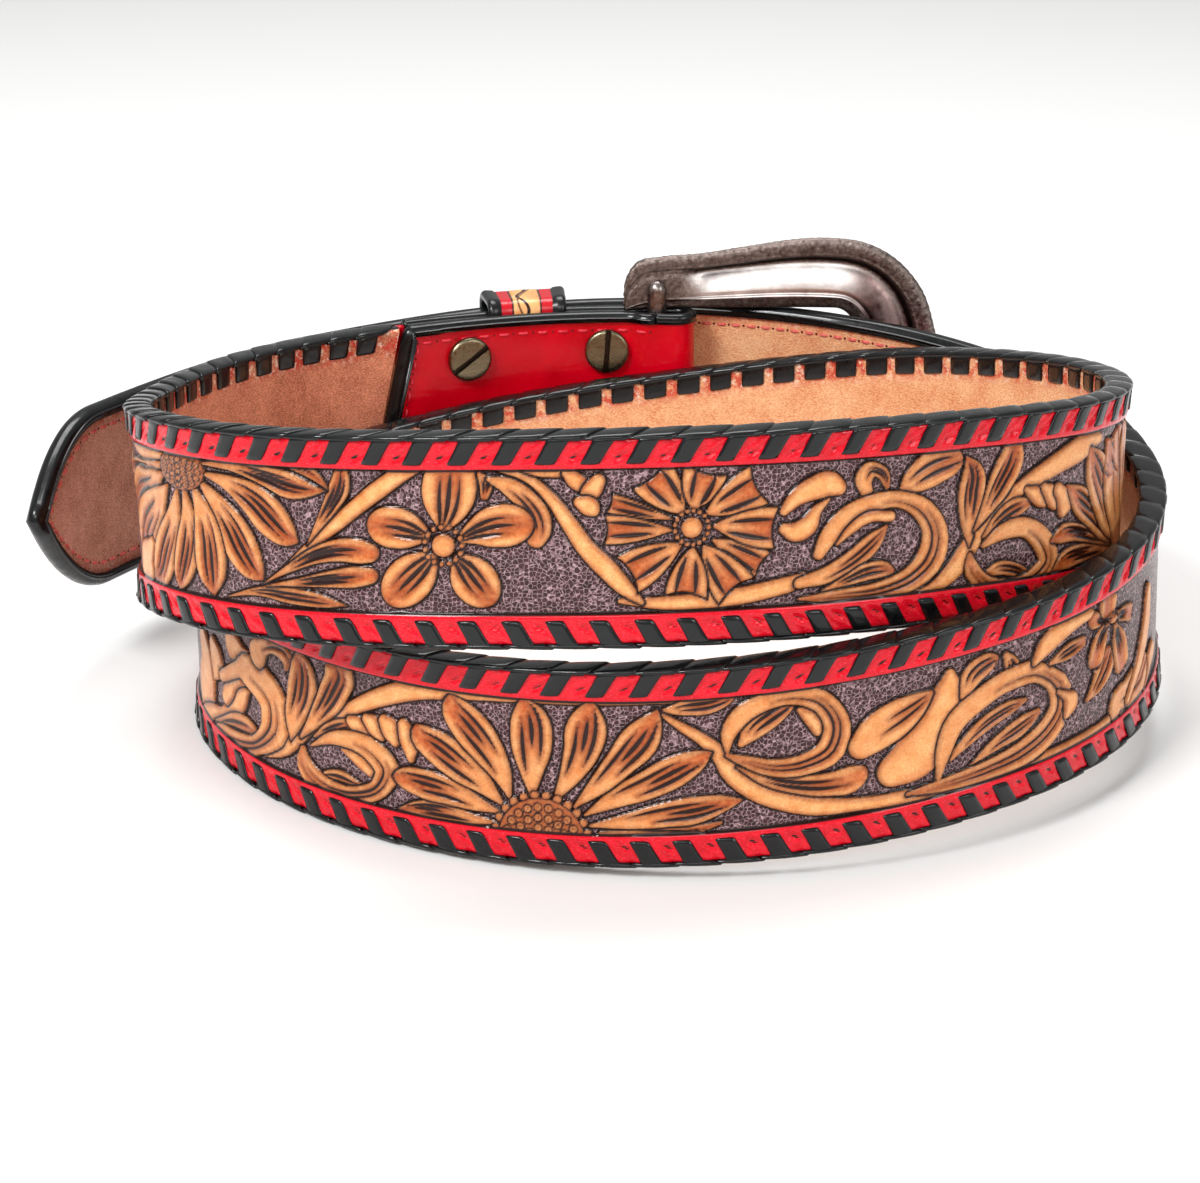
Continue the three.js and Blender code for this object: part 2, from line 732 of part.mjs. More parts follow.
// Buckle: a bowed horseshoe frame with a hollow back, closed by the bar.
// Its own frame: X towards the broad end from the bar, Y outward, Z up from the middle line.
function outline_curve() {
  const upper = buckle_outline.map(({ along, up }) => new THREE.Vector3(
    along * buckle_length, up * buckle_half_height, 0,
  ));
  const lower = upper.slice(0, -1).map((p) => new THREE.Vector3(p.x, -p.y, 0)).reverse();
  return new THREE.CatmullRomCurve3([...upper, ...lower], false, "centripetal");
}

function window_point(share) {
  const end = buckle_length - buckle_end_width;
  const straight = end - window_corner;
  const heel = -buckle_heel + heel_wall;
  const side = Math.min(share, 1 - share) * 2;
  const sign = share < 0.5 ? 1 : -1;
  if (side < window_side_share) {
    const run = (straight - heel) * side / window_side_share;
    return [heel + run, sign * window_half_height];
  }
  const angle = (side - window_side_share) / (1 - window_side_share) * Math.PI / 2;
  return [
    straight + (end - straight) * Math.sin(angle) ** window_along_power,
    sign * window_half_height * Math.cos(angle) ** window_up_power,
  ];
}

// How far the tip billet lies outward of the bar's middle, at a distance ahead of the bar.
function tip_out_at(along) {
  const to_frame = frame_at(bar_turn, 0, middle).invert();
  let turn = 2 + bar_turn - along / pace(bar_turn);
  const tries = 6;
  for (let i = 0; i < tries; i += 1) {
    const local = place(turn, 0, middle).applyMatrix4(to_frame);
    turn += (local.x - along) / pace(turn);
  }
  return place(turn, 0, middle).applyMatrix4(to_frame).y;
}

// The broad end seats on the tip billet where that passes in under it.
const seat_at = buckle_length - buckle_end_width - window_corner * seat_share;
const seat_out = tip_out_at(seat_at) + tip_binding_half + fit_gap;

function frame_out(along) {
  const bulge = (x) => {
    const share = (x + buckle_heel) / (buckle_length + buckle_heel) * 2 - 1;
    return frame_bow * (1 - share * share);
  };
  const tilt = (seat_out - frame_lift - bulge(seat_at)) / seat_at;
  return frame_lift + bulge(along) + tilt * along;
}

function buckle_frame() {
  const curve = outline_curve();
  const rings = [];
  for (let i = 0; i <= frame_sections; i += 1) {
    const share = i / frame_sections;
    const edge = curve.getPointAt(share);
    const [window_x, window_z] = window_point(share);
    rings.push(rail_section.map(({ across, out, hollow = 0 }) => {
      const x = edge.x + (window_x - edge.x) * across;
      const z = edge.y + (window_z - edge.y) * across;
      const open = smooth(hollow_start, hollow_full, x);
      return new THREE.Vector3(x, frame_out(x) + (out + hollow * open) * frame_depth, z);
    }));
  }
  const flat = rail_section.map(({ across, out }) => (
    new THREE.Vector2(across * buckle_end_width, out * frame_depth)
  ));
  const frame = loft(rings, flat);
  const bar_top = [
    [bar_radius, bar_half_height - bar_radius],
    [bar_radius * bar_end_share, bar_half_height - bar_end_round],
    [0, bar_half_height],
  ];
  const bar_profile = [...bar_top.map(([x, y]) => [x, -y]).reverse(), ...bar_top];
  const bar = new THREE.LatheGeometry(bar_profile.map(([x, y]) => new THREE.Vector2(x, y)), round_sides);
  bar.rotateX(Math.PI / 2);
  return geometry_of(solid(frame).add(solid(bar)));
}

const buckle_place = frame_at(bar_turn, 0, middle - buckle_drop);
const buckle = add("buckle_frame", buckle_frame(), metal(colours.buckle, 0.35));
buckle.applyMatrix4(buckle_place);

// Prong: hooked round the bar, out through the strap's hole and over it to the broad end.
function prong() {
  const radius = prong_diameter / 2;
  const hook = bar_radius + fit_gap + radius;
  const bar_layer = along_route(bar_turn, "layer");
  const tip_middle = (along_route(2 + bar_turn, "layer") - bar_layer) * layer_pitch;
  const over_tip = tip_middle + tip_half + fit_gap + radius;
  const end_crown = frame_out(buckle_length - buckle_end_width / 2) + frame_depth;
  const over_end = end_crown + fit_gap + radius;
  const levels = {
    hook,
    under_tip: tip_middle - tip_half,
    in_tip: tip_middle,
    over_tip,
    between: (over_tip + over_end) / 2,
    over_end,
  };
  const reaches = { hole: prong_hole_ahead, buckle: buckle_length };
  const points = [];
  for (let i = 0; i <= hook_sections; i += 1) {
    const angle = Math.PI * (hook_start - i * hook_step);
    points.push(new THREE.Vector3(hook * Math.cos(angle), hook * Math.sin(angle), 0));
  }
  for (const { by, ahead, level, lift } of prong_path) {
    points.push(new THREE.Vector3(reaches[by] * ahead, levels[level] + lift, 0));
  }
  const path = new THREE.CatmullRomCurve3(points, false, "centripetal");
  const corners = Array.from({ length: prong_sides }, (_, i) => {
    const angle = TAU * (i + 0.5) / prong_sides;
    return new THREE.Vector2(Math.cos(angle), Math.sin(angle));
  });
  const rings = [];
  for (let i = 0; i <= prong_sections; i += 1) {
    const share = i / prong_sections;
    const centre = path.getPointAt(share);
    const ahead = path.getTangentAt(share);
    const across = new THREE.Vector3(-ahead.y, ahead.x, 0).normalize();
    const size = radius * (1 - prong_taper * smooth(taper_start, 1, share));
    rings.push(corners.map((corner) => {
      const point = centre.clone().addScaledVector(across, size * corner.x);
      return point.setZ(point.z + size * corner.y);
    }));
  }
  return loft(rings, corners);
}

const prong_mesh = add("prong", prong(), metal(colours.buckle, 0.35));
prong_mesh.applyMatrix4(frame_at(bar_turn, 0, middle));

// The origin is the middle of the foot of the whole belt.
belt.updateMatrixWorld(true);
const box = new THREE.Box3().setFromObject(belt);
belt.position.set(-(box.min.x + box.max.x) / 2, -(box.min.y + box.max.y) / 2, -box.min.z);

export default group;
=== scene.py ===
import math

import bpy
import numpy as np
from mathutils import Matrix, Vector


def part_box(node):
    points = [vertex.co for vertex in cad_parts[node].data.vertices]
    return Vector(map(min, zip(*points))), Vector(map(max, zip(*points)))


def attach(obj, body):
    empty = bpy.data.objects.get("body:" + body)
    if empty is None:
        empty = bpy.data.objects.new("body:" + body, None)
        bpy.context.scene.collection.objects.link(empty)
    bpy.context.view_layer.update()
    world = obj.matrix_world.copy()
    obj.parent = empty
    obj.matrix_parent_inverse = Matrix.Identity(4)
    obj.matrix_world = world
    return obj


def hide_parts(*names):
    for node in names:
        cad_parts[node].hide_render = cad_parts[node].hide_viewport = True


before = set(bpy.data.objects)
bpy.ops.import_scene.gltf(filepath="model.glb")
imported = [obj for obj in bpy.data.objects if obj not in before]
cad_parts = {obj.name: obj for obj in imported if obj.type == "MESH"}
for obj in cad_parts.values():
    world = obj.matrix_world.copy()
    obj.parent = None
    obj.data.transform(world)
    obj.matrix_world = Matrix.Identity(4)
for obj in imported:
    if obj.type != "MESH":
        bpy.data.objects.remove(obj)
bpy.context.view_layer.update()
rng = np.random.default_rng(7)

# Sizes in millimetres, the same as the solids have.
STRAP_WIDTH = 38.0
LEATHER_THICK = 3.6
LACE_THICK = 0.8
LACE_REACH = 5.2
FIT_GAP = 0.3
LOOP_GAP = 0.8
COIL_HALF_LENGTH = 88.0
COIL_HALF_DEPTH = 76.0
TURN_STEPS = 44
LAP_LENGTH = 12.0
BILLET_THICK = 1.6
PANEL_LENGTH = 59.0
PANEL_CORNER = 3.0
PANEL_SLANT = 9.3
BINDING_THICK = 0.6
BINDING_GAP = 0.25
TIP_THICK = 2.2
TIP_POINT = 34.0
POINT_FULLNESS = 1.05
TIP_BINDING_THICK = 0.6
TIP_BINDING_REACH = 2.8
BINDING_REACH = 3.6
HOLE_DIAMETER = 5.4
HOLE_SIDES = 28
HOLE_PITCH = 25.4
KEEPER_WIDTH = 17.5
KEEPER_THICK = 1.2
KEEPER_PLACE = 28.5
KEEPER_SLACK = 1.0
KEEPER_CORNER = 1.5
SCREW_HEAD = 9.6
SCREW_HEAD_THICK = 1.6
SCREW_NEAR = 11.0
SCREW_FAR = 43.0
SCREW_ROW = 10.4
BUCKLE_LENGTH = 62.8
BUCKLE_HEEL = 7.2
BUCKLE_DROP = 1.7
BUCKLE_HALF_HEIGHT = 36.2
WINDOW_HALF_HEIGHT = 20.6
BUCKLE_END_WIDTH = 17.5
WINDOW_CORNER = 7.0
FRAME_DEPTH = 5.2
FRAME_BOW = 2.2
FRAME_LIFT = -0.6
BAR_DIAMETER = 4.2
BAR_HALF_HEIGHT = 27.3
PRONG_DIAMETER = 2.6
PRONG_HOLE_AHEAD = 4.6
FOLD_SLACK = 4.2
LEG_CLOSED = 6.0
BAR_TURN = -0.0036
TOOLED_END_TURN = 1.82
TIP_TURN = 2.268

# Carving and lacing, which the solids leave plain.
BORDER = 6.3
STITCH_PITCH = 7.45
KEEPER_REPEAT = 11.0
CARVE_DEPTH = 0.55

# Route of the strap's middle surface: turn, layer, rise (share of the width), lean (share of height).
ROUTE = np.array([
    (-0.125, 1.5, 0.51, 0),
    (0, 1.5, 0.505, 0),
    (0.125, 0.6, 0.52, 0.01),
    (0.25, -0.25, 0.66, 0.02),
    (0.375, 0.9, 0.985, 0),
    (0.5, 0, 1.14, -0.008),
    (0.625, -0.35, 1.07, 0.008),
    (0.75, 1.2, 0.845, -0.005),
    (0.875, 0.6, 0.545, -0.005),
    (1, 0.2, 0.18, -0.005),
    (1.125, -0.75, 0, -0.005),
    (1.25, -1.3, 0, 0),
    (1.375, -1.3, 0, 0.018),
    (1.5, -0.4, 0.04, 0.047),
    (1.625, 0.95, 0.15, -0.008),
    (1.75, 2.55, 0.255, -0.037),
    (1.875, 3, 0.445, -0.016),
    (2, 2.85, 0.505, 0),
    (2.125, 2.05, 0.45, 0.01),
    (2.25, 3.35, 0.44, 0.018),
    (2.375, 3.8, 1.22, 0.016),
])
LAYER, RISE, LEAN = 1, 2, 3

TAU = 2 * math.pi
MM = 0.001
MIDDLE = STRAP_WIDTH / 2
LEATHER_HALF = LEATHER_THICK / 2
LEATHER_INSET = LACE_THICK + FIT_GAP
OVER_LACING = LEATHER_THICK + 2 * (FIT_GAP + LACE_THICK)
LAYER_PITCH = OVER_LACING + LOOP_GAP
BAR_RADIUS = BAR_DIAMETER / 2
BILLET_HALF = BILLET_THICK / 2
BINDING_HALF = BILLET_HALF + BINDING_GAP + BINDING_THICK
INNER_LEG = -BINDING_HALF
KEEPER_INNER = FIT_GAP
OUTER_LEG = KEEPER_INNER + KEEPER_THICK + FIT_GAP + BILLET_HALF
FOLD_RADIUS = BAR_RADIUS + FIT_GAP + BILLET_HALF
TIP_HALF = TIP_THICK / 2
TIP_BINDING_HALF = TIP_HALF + BINDING_GAP + TIP_BINDING_THICK


def smooth(low, high, x):
    s = np.clip((np.asarray(x, float) - low) / (high - low), 0, 1)
    return s * s * (3 - 2 * s)


def along_route(turn, column):
    """Catmull-Rom curve through one column of the route."""
    turn = np.asarray(turn, float)
    keys = ROUTE[:, 0]
    i = np.clip(np.searchsorted(keys, turn, side="right") - 1, 0, len(keys) - 2)
    values = ROUTE[:, column]
    before = values[np.maximum(i - 1, 0)]
    start = values[i]
    end = values[i + 1]
    after = values[np.minimum(i + 2, len(keys) - 1)]
    f = (turn - keys[i]) / (keys[i + 1] - keys[i])
    f2 = f * f
    f3 = f2 * f
    return (
        (2 * f3 - 3 * f2 + 1) * start
        + (f3 - 2 * f2 + f) * (end - before) / 2
        + (3 * f2 - 2 * f3) * end
        + (f3 - f2) * (after - start) / 2
    )


def place_mm(turn, out, up):
    """Points of the strap's own space, in the route's millimetres."""
    turn, out, up = np.broadcast_arrays(*(np.asarray(a, float) for a in (turn, out, up)))
    sine = np.sin(TAU * turn)
    cosine = np.cos(TAU * turn)
    along_x = -COIL_HALF_LENGTH * cosine
    along_y = -COIL_HALF_DEPTH * sine
    size = np.hypot(along_x, along_y)
    reach = along_route(turn, LAYER) * LAYER_PITCH + out + along_route(turn, LEAN) * up
    x = -COIL_HALF_LENGTH * sine + along_y / size * reach
    y = COIL_HALF_DEPTH * cosine - along_x / size * reach
    z = np.maximum(0, along_route(turn, RISE)) * STRAP_WIDTH + up
    return np.stack([x, y, z], -1)


def pace(turn):
    step = 0.002
    return np.linalg.norm(place_mm(turn + step, 0, 0) - place_mm(turn - step, 0, 0)) / (2 * step)


def go(turn, distance):
    return turn + distance / pace(turn)


PANEL_END_TURN = go(BAR_TURN, PANEL_LENGTH)
SLANT_TURNS = PANEL_SLANT / pace(PANEL_END_TURN)
STRAP_START_TURN = go(PANEL_END_TURN, FIT_GAP)
END_LAP_TURN = go(TOOLED_END_TURN, LAP_LENGTH)
START_LAP_TURN = go(STRAP_START_TURN, LAP_LENGTH + PANEL_SLANT)


def slanted(turn, up):
    """The slanted line where the tooled strap starts, beside the turned-back panel."""
    fade = 1 - smooth(STRAP_START_TURN, STRAP_START_TURN + 4 * SLANT_TURNS, turn)
    return turn + SLANT_TURNS * (1 - np.asarray(up, float) / STRAP_WIDTH) * fade


def shared_turns(low, high):
    margin = 0.15 / TURN_STEPS
    first = math.ceil((low + margin) * TURN_STEPS)
    last = math.ceil((high - margin) * TURN_STEPS) - 1
    return [low, *(i / TURN_STEPS for i in range(first, last + 1)), high]


def find_shift():
    """Where the solids' origin lies: the route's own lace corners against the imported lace."""
    outer = OVER_LACING / 2
    corners = [(side * outer, up) for side in (-1, 1) for up in (LACE_REACH, 1.1)]
    lows = [
        place_mm(slanted(turn, up), out, up)
        for turn in shared_turns(STRAP_START_TURN, END_LAP_TURN)
        for out, up in corners
    ]
    low = np.min(lows, axis=0)
    return np.array(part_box("lace_bottom")[0]) / MM - low


SHIFT = find_shift()
SHIFT[2] = 0


def strap(turn, out, up):
    """Points of the strap's own space, in metres in the row frame."""
    return (place_mm(turn, out, up) + SHIFT) * MM


# Millimetres run along the strap's outer face, by turn.
RUN_TURNS = np.linspace(-0.12, 2.37, 5000)
RUN_POINTS = place_mm(RUN_TURNS, LEATHER_HALF, MIDDLE)
RUNS = np.concatenate([[0], np.cumsum(np.linalg.norm(np.diff(RUN_POINTS, axis=0), axis=1))])
RUNS -= np.interp(BAR_TURN, RUN_TURNS, RUNS)


def run_of(turn):
    return np.interp(turn, RUN_TURNS, RUNS)


def turn_of(run):
    return np.interp(run, RUNS, RUN_TURNS)


def near_bar(behind, out, up):
    return strap(BAR_TURN + np.asarray(behind, float) / pace(BAR_TURN), out, up)


class Frame:
    """A rigid piece's own frame on the strap: X back along the strap, Y outward, Z up."""

    def __init__(self, turn, out, up):
        step = 0.002
        back = place_mm(turn - step, 0, 0) - place_mm(turn + step, 0, 0)
        back[2] = 0
        back /= np.linalg.norm(back)
        self.axes = np.array([back, [-back[1], back[0], 0], [0, 0, 1]])
        self.origin = place_mm(turn, out, up) + SHIFT

    def at(self, points):
        return (np.asarray(points, float) @ self.axes + self.origin) * MM

    def inverse(self, points_mm):
        return (np.asarray(points_mm, float) - self.origin) @ self.axes.T


# Meshes


def grid_faces(rows, columns, around=False, closed=False):
    """Quads of a grid of points; around joins its last column to its first, closed its rows."""
    i = np.arange(rows if closed else rows - 1)[:, None]
    j = np.arange(columns if around else columns - 1)[None, :]
    a = i * columns + j
    b = i * columns + (j + 1) % columns
    below = (i + 1) % rows
    c = below * columns + (j + 1) % columns
    d = below * columns + j
    return np.stack([a, b, c, d], -1).reshape(-1, 4)


def make_mesh(name, points, faces, fields=None, caps=()):
    """Mesh object from points in metres, an array of quads, caps as lists, and point fields."""
    points = np.asarray(points, float).reshape(-1, 3)
    faces = np.asarray(faces)
    mesh = bpy.data.meshes.new(name)
    loops = np.concatenate([faces.ravel(), *[np.asarray(c) for c in caps]]).astype(np.int32)
    sizes = np.concatenate([
        np.full(len(faces), faces.shape[1]), np.array([len(c) for c in caps], int)
    ]).astype(np.int32)
    starts = np.concatenate([[0], np.cumsum(sizes)[:-1]]).astype(np.int32)
    mesh.vertices.add(len(points))
    mesh.vertices.foreach_set("co", points.astype(np.float32).ravel())
    mesh.loops.add(len(loops))
    mesh.loops.foreach_set("vertex_index", loops)
    mesh.polygons.add(len(sizes))
    mesh.polygons.foreach_set("loop_start", starts)
    mesh.polygons.foreach_set("loop_total", sizes)
    mesh.polygons.foreach_set("use_smooth", np.ones(len(sizes), bool))
    mesh.update(calc_edges=True)
    mesh.validate()
    for key, values in (fields or {}).items():
        values = np.asarray(values, np.float32)
        if values.size == len(points) * 3:
            mesh.attributes.new(key, "FLOAT_VECTOR", "POINT").data.foreach_set("vector", values.ravel())
        else:
            mesh.attributes.new(key, "FLOAT", "POINT").data.foreach_set("value", values.ravel())
    obj = bpy.data.objects.new(name, mesh)
    bpy.context.scene.collection.objects.link(obj)
    return obj


def grid_mesh(name, points, fields=None, around=False, closed=False, cap=False, flip=False):
    rows, columns = points.shape[:2]
    faces = grid_faces(rows, columns, around, closed)
    caps = []
    if cap:
        caps = [list(range(columns))[::-1], [(rows - 1) * columns + k for k in range(columns)]]
    if flip:
        faces = faces[:, ::-1]
        caps = [c[::-1] for c in caps]
    return make_mesh(name, points, faces, fields, caps)


def joined(name, parts):
    """One mesh object of several (points, faces, fields) parts."""
    points = []
    faces = []
    fields = {}
    count = 0
    for part_points, part_faces, part_fields in parts:
        part_points = part_points.reshape(-1, 3)
        points.append(part_points)
        faces.append(np.asarray(part_faces) + count)
        for key, values in part_fields.items():
            fields.setdefault(key, []).append(np.asarray(values, float).ravel())
        count += len(part_points)
    return make_mesh(
        name, np.concatenate(points), np.concatenate(faces),
        {key: np.concatenate(values) for key, values in fields.items()},
    )


def face_out(obj):
    """Turns a closed mesh's faces outward."""
    bpy.context.view_layer.objects.active = obj
    for other in bpy.context.selected_objects:
        other.select_set(False)
    obj.select_set(True)
    bpy.ops.object.mode_set(mode="EDIT")
    bpy.ops.mesh.select_all(action="SELECT")
    bpy.ops.mesh.normals_make_consistent(inside=False)
    bpy.ops.object.mode_set(mode="OBJECT")
    obj.select_set(False)


def finish_piece(obj, material, slot, *nodes):
    obj.data.materials.append(material)
    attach(obj, "root")
    if nodes:
        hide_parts(*nodes)
    return obj


def modified(obj):
    """The mesh with its modifiers applied."""
    graph = bpy.context.evaluated_depsgraph_get()
    mesh = bpy.data.meshes.new_from_object(obj.evaluated_get(graph))
    obj.modifiers.clear()
    obj.data = mesh
    return obj


# Materials


def linear(red, green, blue):
    def one(value):
        value /= 255
        return value / 12.92 if value <= 0.04045 else ((value + 0.055) / 1.055) ** 2.4
    return (one(red), one(green), one(blue), 1.0)


class Shader:
    """A principled material and short ways to add nodes to it."""

    def __init__(self, name, roughness=0.5, metallic=0.0, specular=0.5):
        self.material = bpy.data.materials.new(name)
        self.material.use_nodes = True
        self.nodes = self.material.node_tree.nodes
        self.links = self.material.node_tree.links
        self.main = self.nodes["Principled BSDF"]
        self.main.inputs["Roughness"].default_value = roughness
        self.main.inputs["Metallic"].default_value = metallic
        self.main.inputs["Specular IOR Level"].default_value = specular
        self.height = None

    def node(self, kind, **values):
        node = self.nodes.new(kind)
        for key, value in values.items():
            if key in node.inputs:
                node.inputs[key].default_value = value
            else:
                setattr(node, key, value)
        return node

    def link(self, source, target):
        self.links.new(source, target)

    def field(self, name):
        return self.node("ShaderNodeAttribute", attribute_name=name).outputs["Fac"]

    def vector(self, name):
        return self.node("ShaderNodeAttribute", attribute_name=name).outputs["Vector"]

    def coords(self):
        return self.node("ShaderNodeTexCoord").outputs["Object"]

    def noise(self, scale, detail=3.0, roughness=0.5, vector=None, stretch=None):
        noise = self.node("ShaderNodeTexNoise")
        noise.inputs["Scale"].default_value = scale
        noise.inputs["Detail"].default_value = detail
        noise.inputs["Roughness"].default_value = roughness
        source = vector if vector is not None else self.coords()
        if stretch:
            mapping = self.node("ShaderNodeMapping")
            mapping.inputs["Scale"].default_value = stretch
            self.link(source, mapping.inputs["Vector"])
            source = mapping.outputs["Vector"]
        self.link(source, noise.inputs["Vector"])
        return noise.outputs["Fac"]

    def cells(self, scale, vector=None, feature="F1", randomness=1.0):
        cells = self.node("ShaderNodeTexVoronoi", feature=feature)
        cells.inputs["Scale"].default_value = scale
        cells.inputs["Randomness"].default_value = randomness
        self.link(vector if vector is not None else self.coords(), cells.inputs["Vector"])
        return cells.outputs["Distance"]

    def ramp(self, source, stops, smooth_ramp=False):
        ramp = self.node("ShaderNodeValToRGB")
        ramp.color_ramp.interpolation = "EASE" if smooth_ramp else "LINEAR"
        elements = ramp.color_ramp.elements
        while len(elements) < len(stops):
            elements.new(0.5)
        for element, (position, color) in zip(elements, stops):
            element.position = position
            element.color = color if not isinstance(color, (int, float)) else (color, color, color, 1)
        self.link(source, ramp.inputs["Fac"])
        return ramp.outputs["Color"]

    def math(self, operation, a, b=None, clamp=False):
        node = self.node("ShaderNodeMath", operation=operation, use_clamp=clamp)
        for i, value in enumerate((a, b)):
            if value is None:
                continue
            if isinstance(value, (int, float)):
                node.inputs[i].default_value = value
            else:
                self.link(value, node.inputs[i])
        return node.outputs[0]

    def mix(self, share, a, b, blend="MIX"):
        node = self.node("ShaderNodeMix", data_type="RGBA", blend_type=blend)
        for index, value in ((0, share), (6, a), (7, b)):
            if index > 0 and isinstance(value, (int, float)):
                value = (value, value, value, 1)
            if isinstance(value, (int, float, tuple)):
                node.inputs[index].default_value = value
            else:
                self.link(value, node.inputs[index])
        return node.outputs[2]

    def color(self, source):
        if isinstance(source, tuple):
            self.main.inputs["Base Color"].default_value = source
        else:
            self.link(source, self.main.inputs["Base Color"])
        return self

    def step(self, source, low, high):
        """Share from 0 at low to 1 at high; low may be above high."""
        node = self.node("ShaderNodeMapRange")
        node.inputs["From Min"].default_value = low
        node.inputs["From Max"].default_value = high
        self.link(source, node.inputs["Value"])
        return node.outputs["Result"]

    def rough(self, source):
        self.link(source, self.main.inputs["Roughness"])
        return self

    def bump(self, source, strength=0.3, distance=0.0003):
        node = self.node("ShaderNodeBump")
        node.inputs["Strength"].default_value = strength
        node.inputs["Distance"].default_value = distance
        self.link(source, node.inputs["Height"])
        if self.height is not None:
            self.link(self.height, node.inputs["Normal"])
        self.height = node.outputs["Normal"]
        self.link(self.height, self.main.inputs["Normal"])
        return self

    def coat(self, weight, roughness):
        self.main.inputs["Coat Weight"].default_value = weight
        self.main.inputs["Coat Roughness"].default_value = roughness
        return self


# Colours, as they look in daylight.
RED = linear(196, 6, 26)
TAN = linear(226, 144, 78)
TAN_LIGHT = linear(252, 192, 130)
AMBER = linear(176, 76, 26)
GROUND = linear(74, 40, 44)
# Painted highlight: colour of the glints of light on the rims of the ground's pebbles.
GROUND_PAINTED_GLINT = linear(188, 154, 158)
GROUND_DEEP = linear(42, 20, 24)
BURNT = linear(104, 40, 14)
RED_LIGHT = linear(222, 14, 36)
CUT = linear(34, 12, 8)
SUEDE_PINK = linear(242, 158, 122)
SUEDE_PINK_DARK = linear(166, 92, 68)
SUEDE_ORANGE = linear(255, 204, 156)
SUEDE_ORANGE_DARK = linear(220, 134, 88)
SUEDE_TIP = linear(250, 188, 162)
SUEDE_TIP_DARK = linear(180, 118, 96)
TAN_DARK = linear(176, 96, 44)
# Painted highlight: pink of the sheen on the red leather.
RED_PAINTED_SHEEN = linear(240, 96, 116)
RUBBED_RED = linear(206, 62, 50)
FRAYED = linear(246, 214, 190)
THREAD = linear(208, 76, 72)
THREAD_LIGHT = linear(232, 128, 116)
# Painted shade: dark reds of the recesses at the stitch holes.
HOLE_SHADE = linear(140, 26, 30)
HOLE_SHADE_DEEP = linear(84, 8, 16)
PANEL_THREAD = linear(206, 16, 36)
PANEL_THREAD_LIGHT = linear(236, 76, 92)


def black_leather(name):
    s = Shader(name, 0.4, specular=0.16)
    wide = s.noise(180, 4)
    s.color(s.ramp(wide, [(0.3, linear(3, 4, 5)), (0.7, linear(12, 14, 16))]))
    s.rough(s.ramp(s.noise(420, 4, 0.6), [(0.35, 0.24), (0.65, 0.5)]))
    s.bump(s.noise(1500, 3, 0.6), 0.16, 0.0001)
    s.bump(s.noise(380, 3), 0.35, 0.0003)
    return s.coat(0.5, 0.1).material


def red_leather(name):
    s = Shader(name, 0.34, specular=0.12)
    wide = s.noise(70, 3)
    s.color(s.ramp(wide, [(0.3, linear(178, 0, 18)), (0.72, linear(212, 2, 28))]))
    s.rough(s.ramp(s.noise(600, 3), [(0.3, 0.2), (0.8, 0.34)]))
    s.bump(s.noise(1300, 3, 0.6), 0.1, 0.0001)
    s.bump(s.noise(150, 3), 0.22, 0.0007)
    return s.coat(0.3, 0.07).material


def suede(name, tones):
    """Flesh side; the tone field blends from one pair of light and dark to the next."""
    s = Shader(name, 0.95, specular=0.1)
    nap = s.noise(2100, 2, 0.7, stretch=(1, 1, 2.2))
    blotch = s.ramp(s.noise(110, 5, 0.7), [(0.36, 0.0), (0.64, 1.0)])
    speck = s.ramp(nap, [(0.42, 0.0), (0.58, 1.0)])
    share = s.math("ADD", s.math("MULTIPLY", blotch, 0.4), s.math("MULTIPLY", speck, 0.6))
    (light, dark), *others = tones
    base = s.mix(share, dark, light)
    for light, dark in others:
        base = s.mix(s.field("tone"), base, s.mix(share, dark, light))
    rub = s.noise(420, 4, 0.7)
    stained = s.math("MULTIPLY", s.field("rub"), s.ramp(rub, [(0.42, 0.0), (0.56, 0.85)]))
    base = s.mix(stained, base, RUBBED_RED)
    fray = s.math("MULTIPLY", s.field("rub"), s.ramp(s.noise(900, 3, 0.7), [(0.54, 0.0), (0.62, 0.9)]))
    s.color(s.mix(fray, base, FRAYED))
    s.bump(nap, 0.9, 0.0004)
    s.bump(s.noise(500, 3), 0.4, 0.0005)
    return s.material


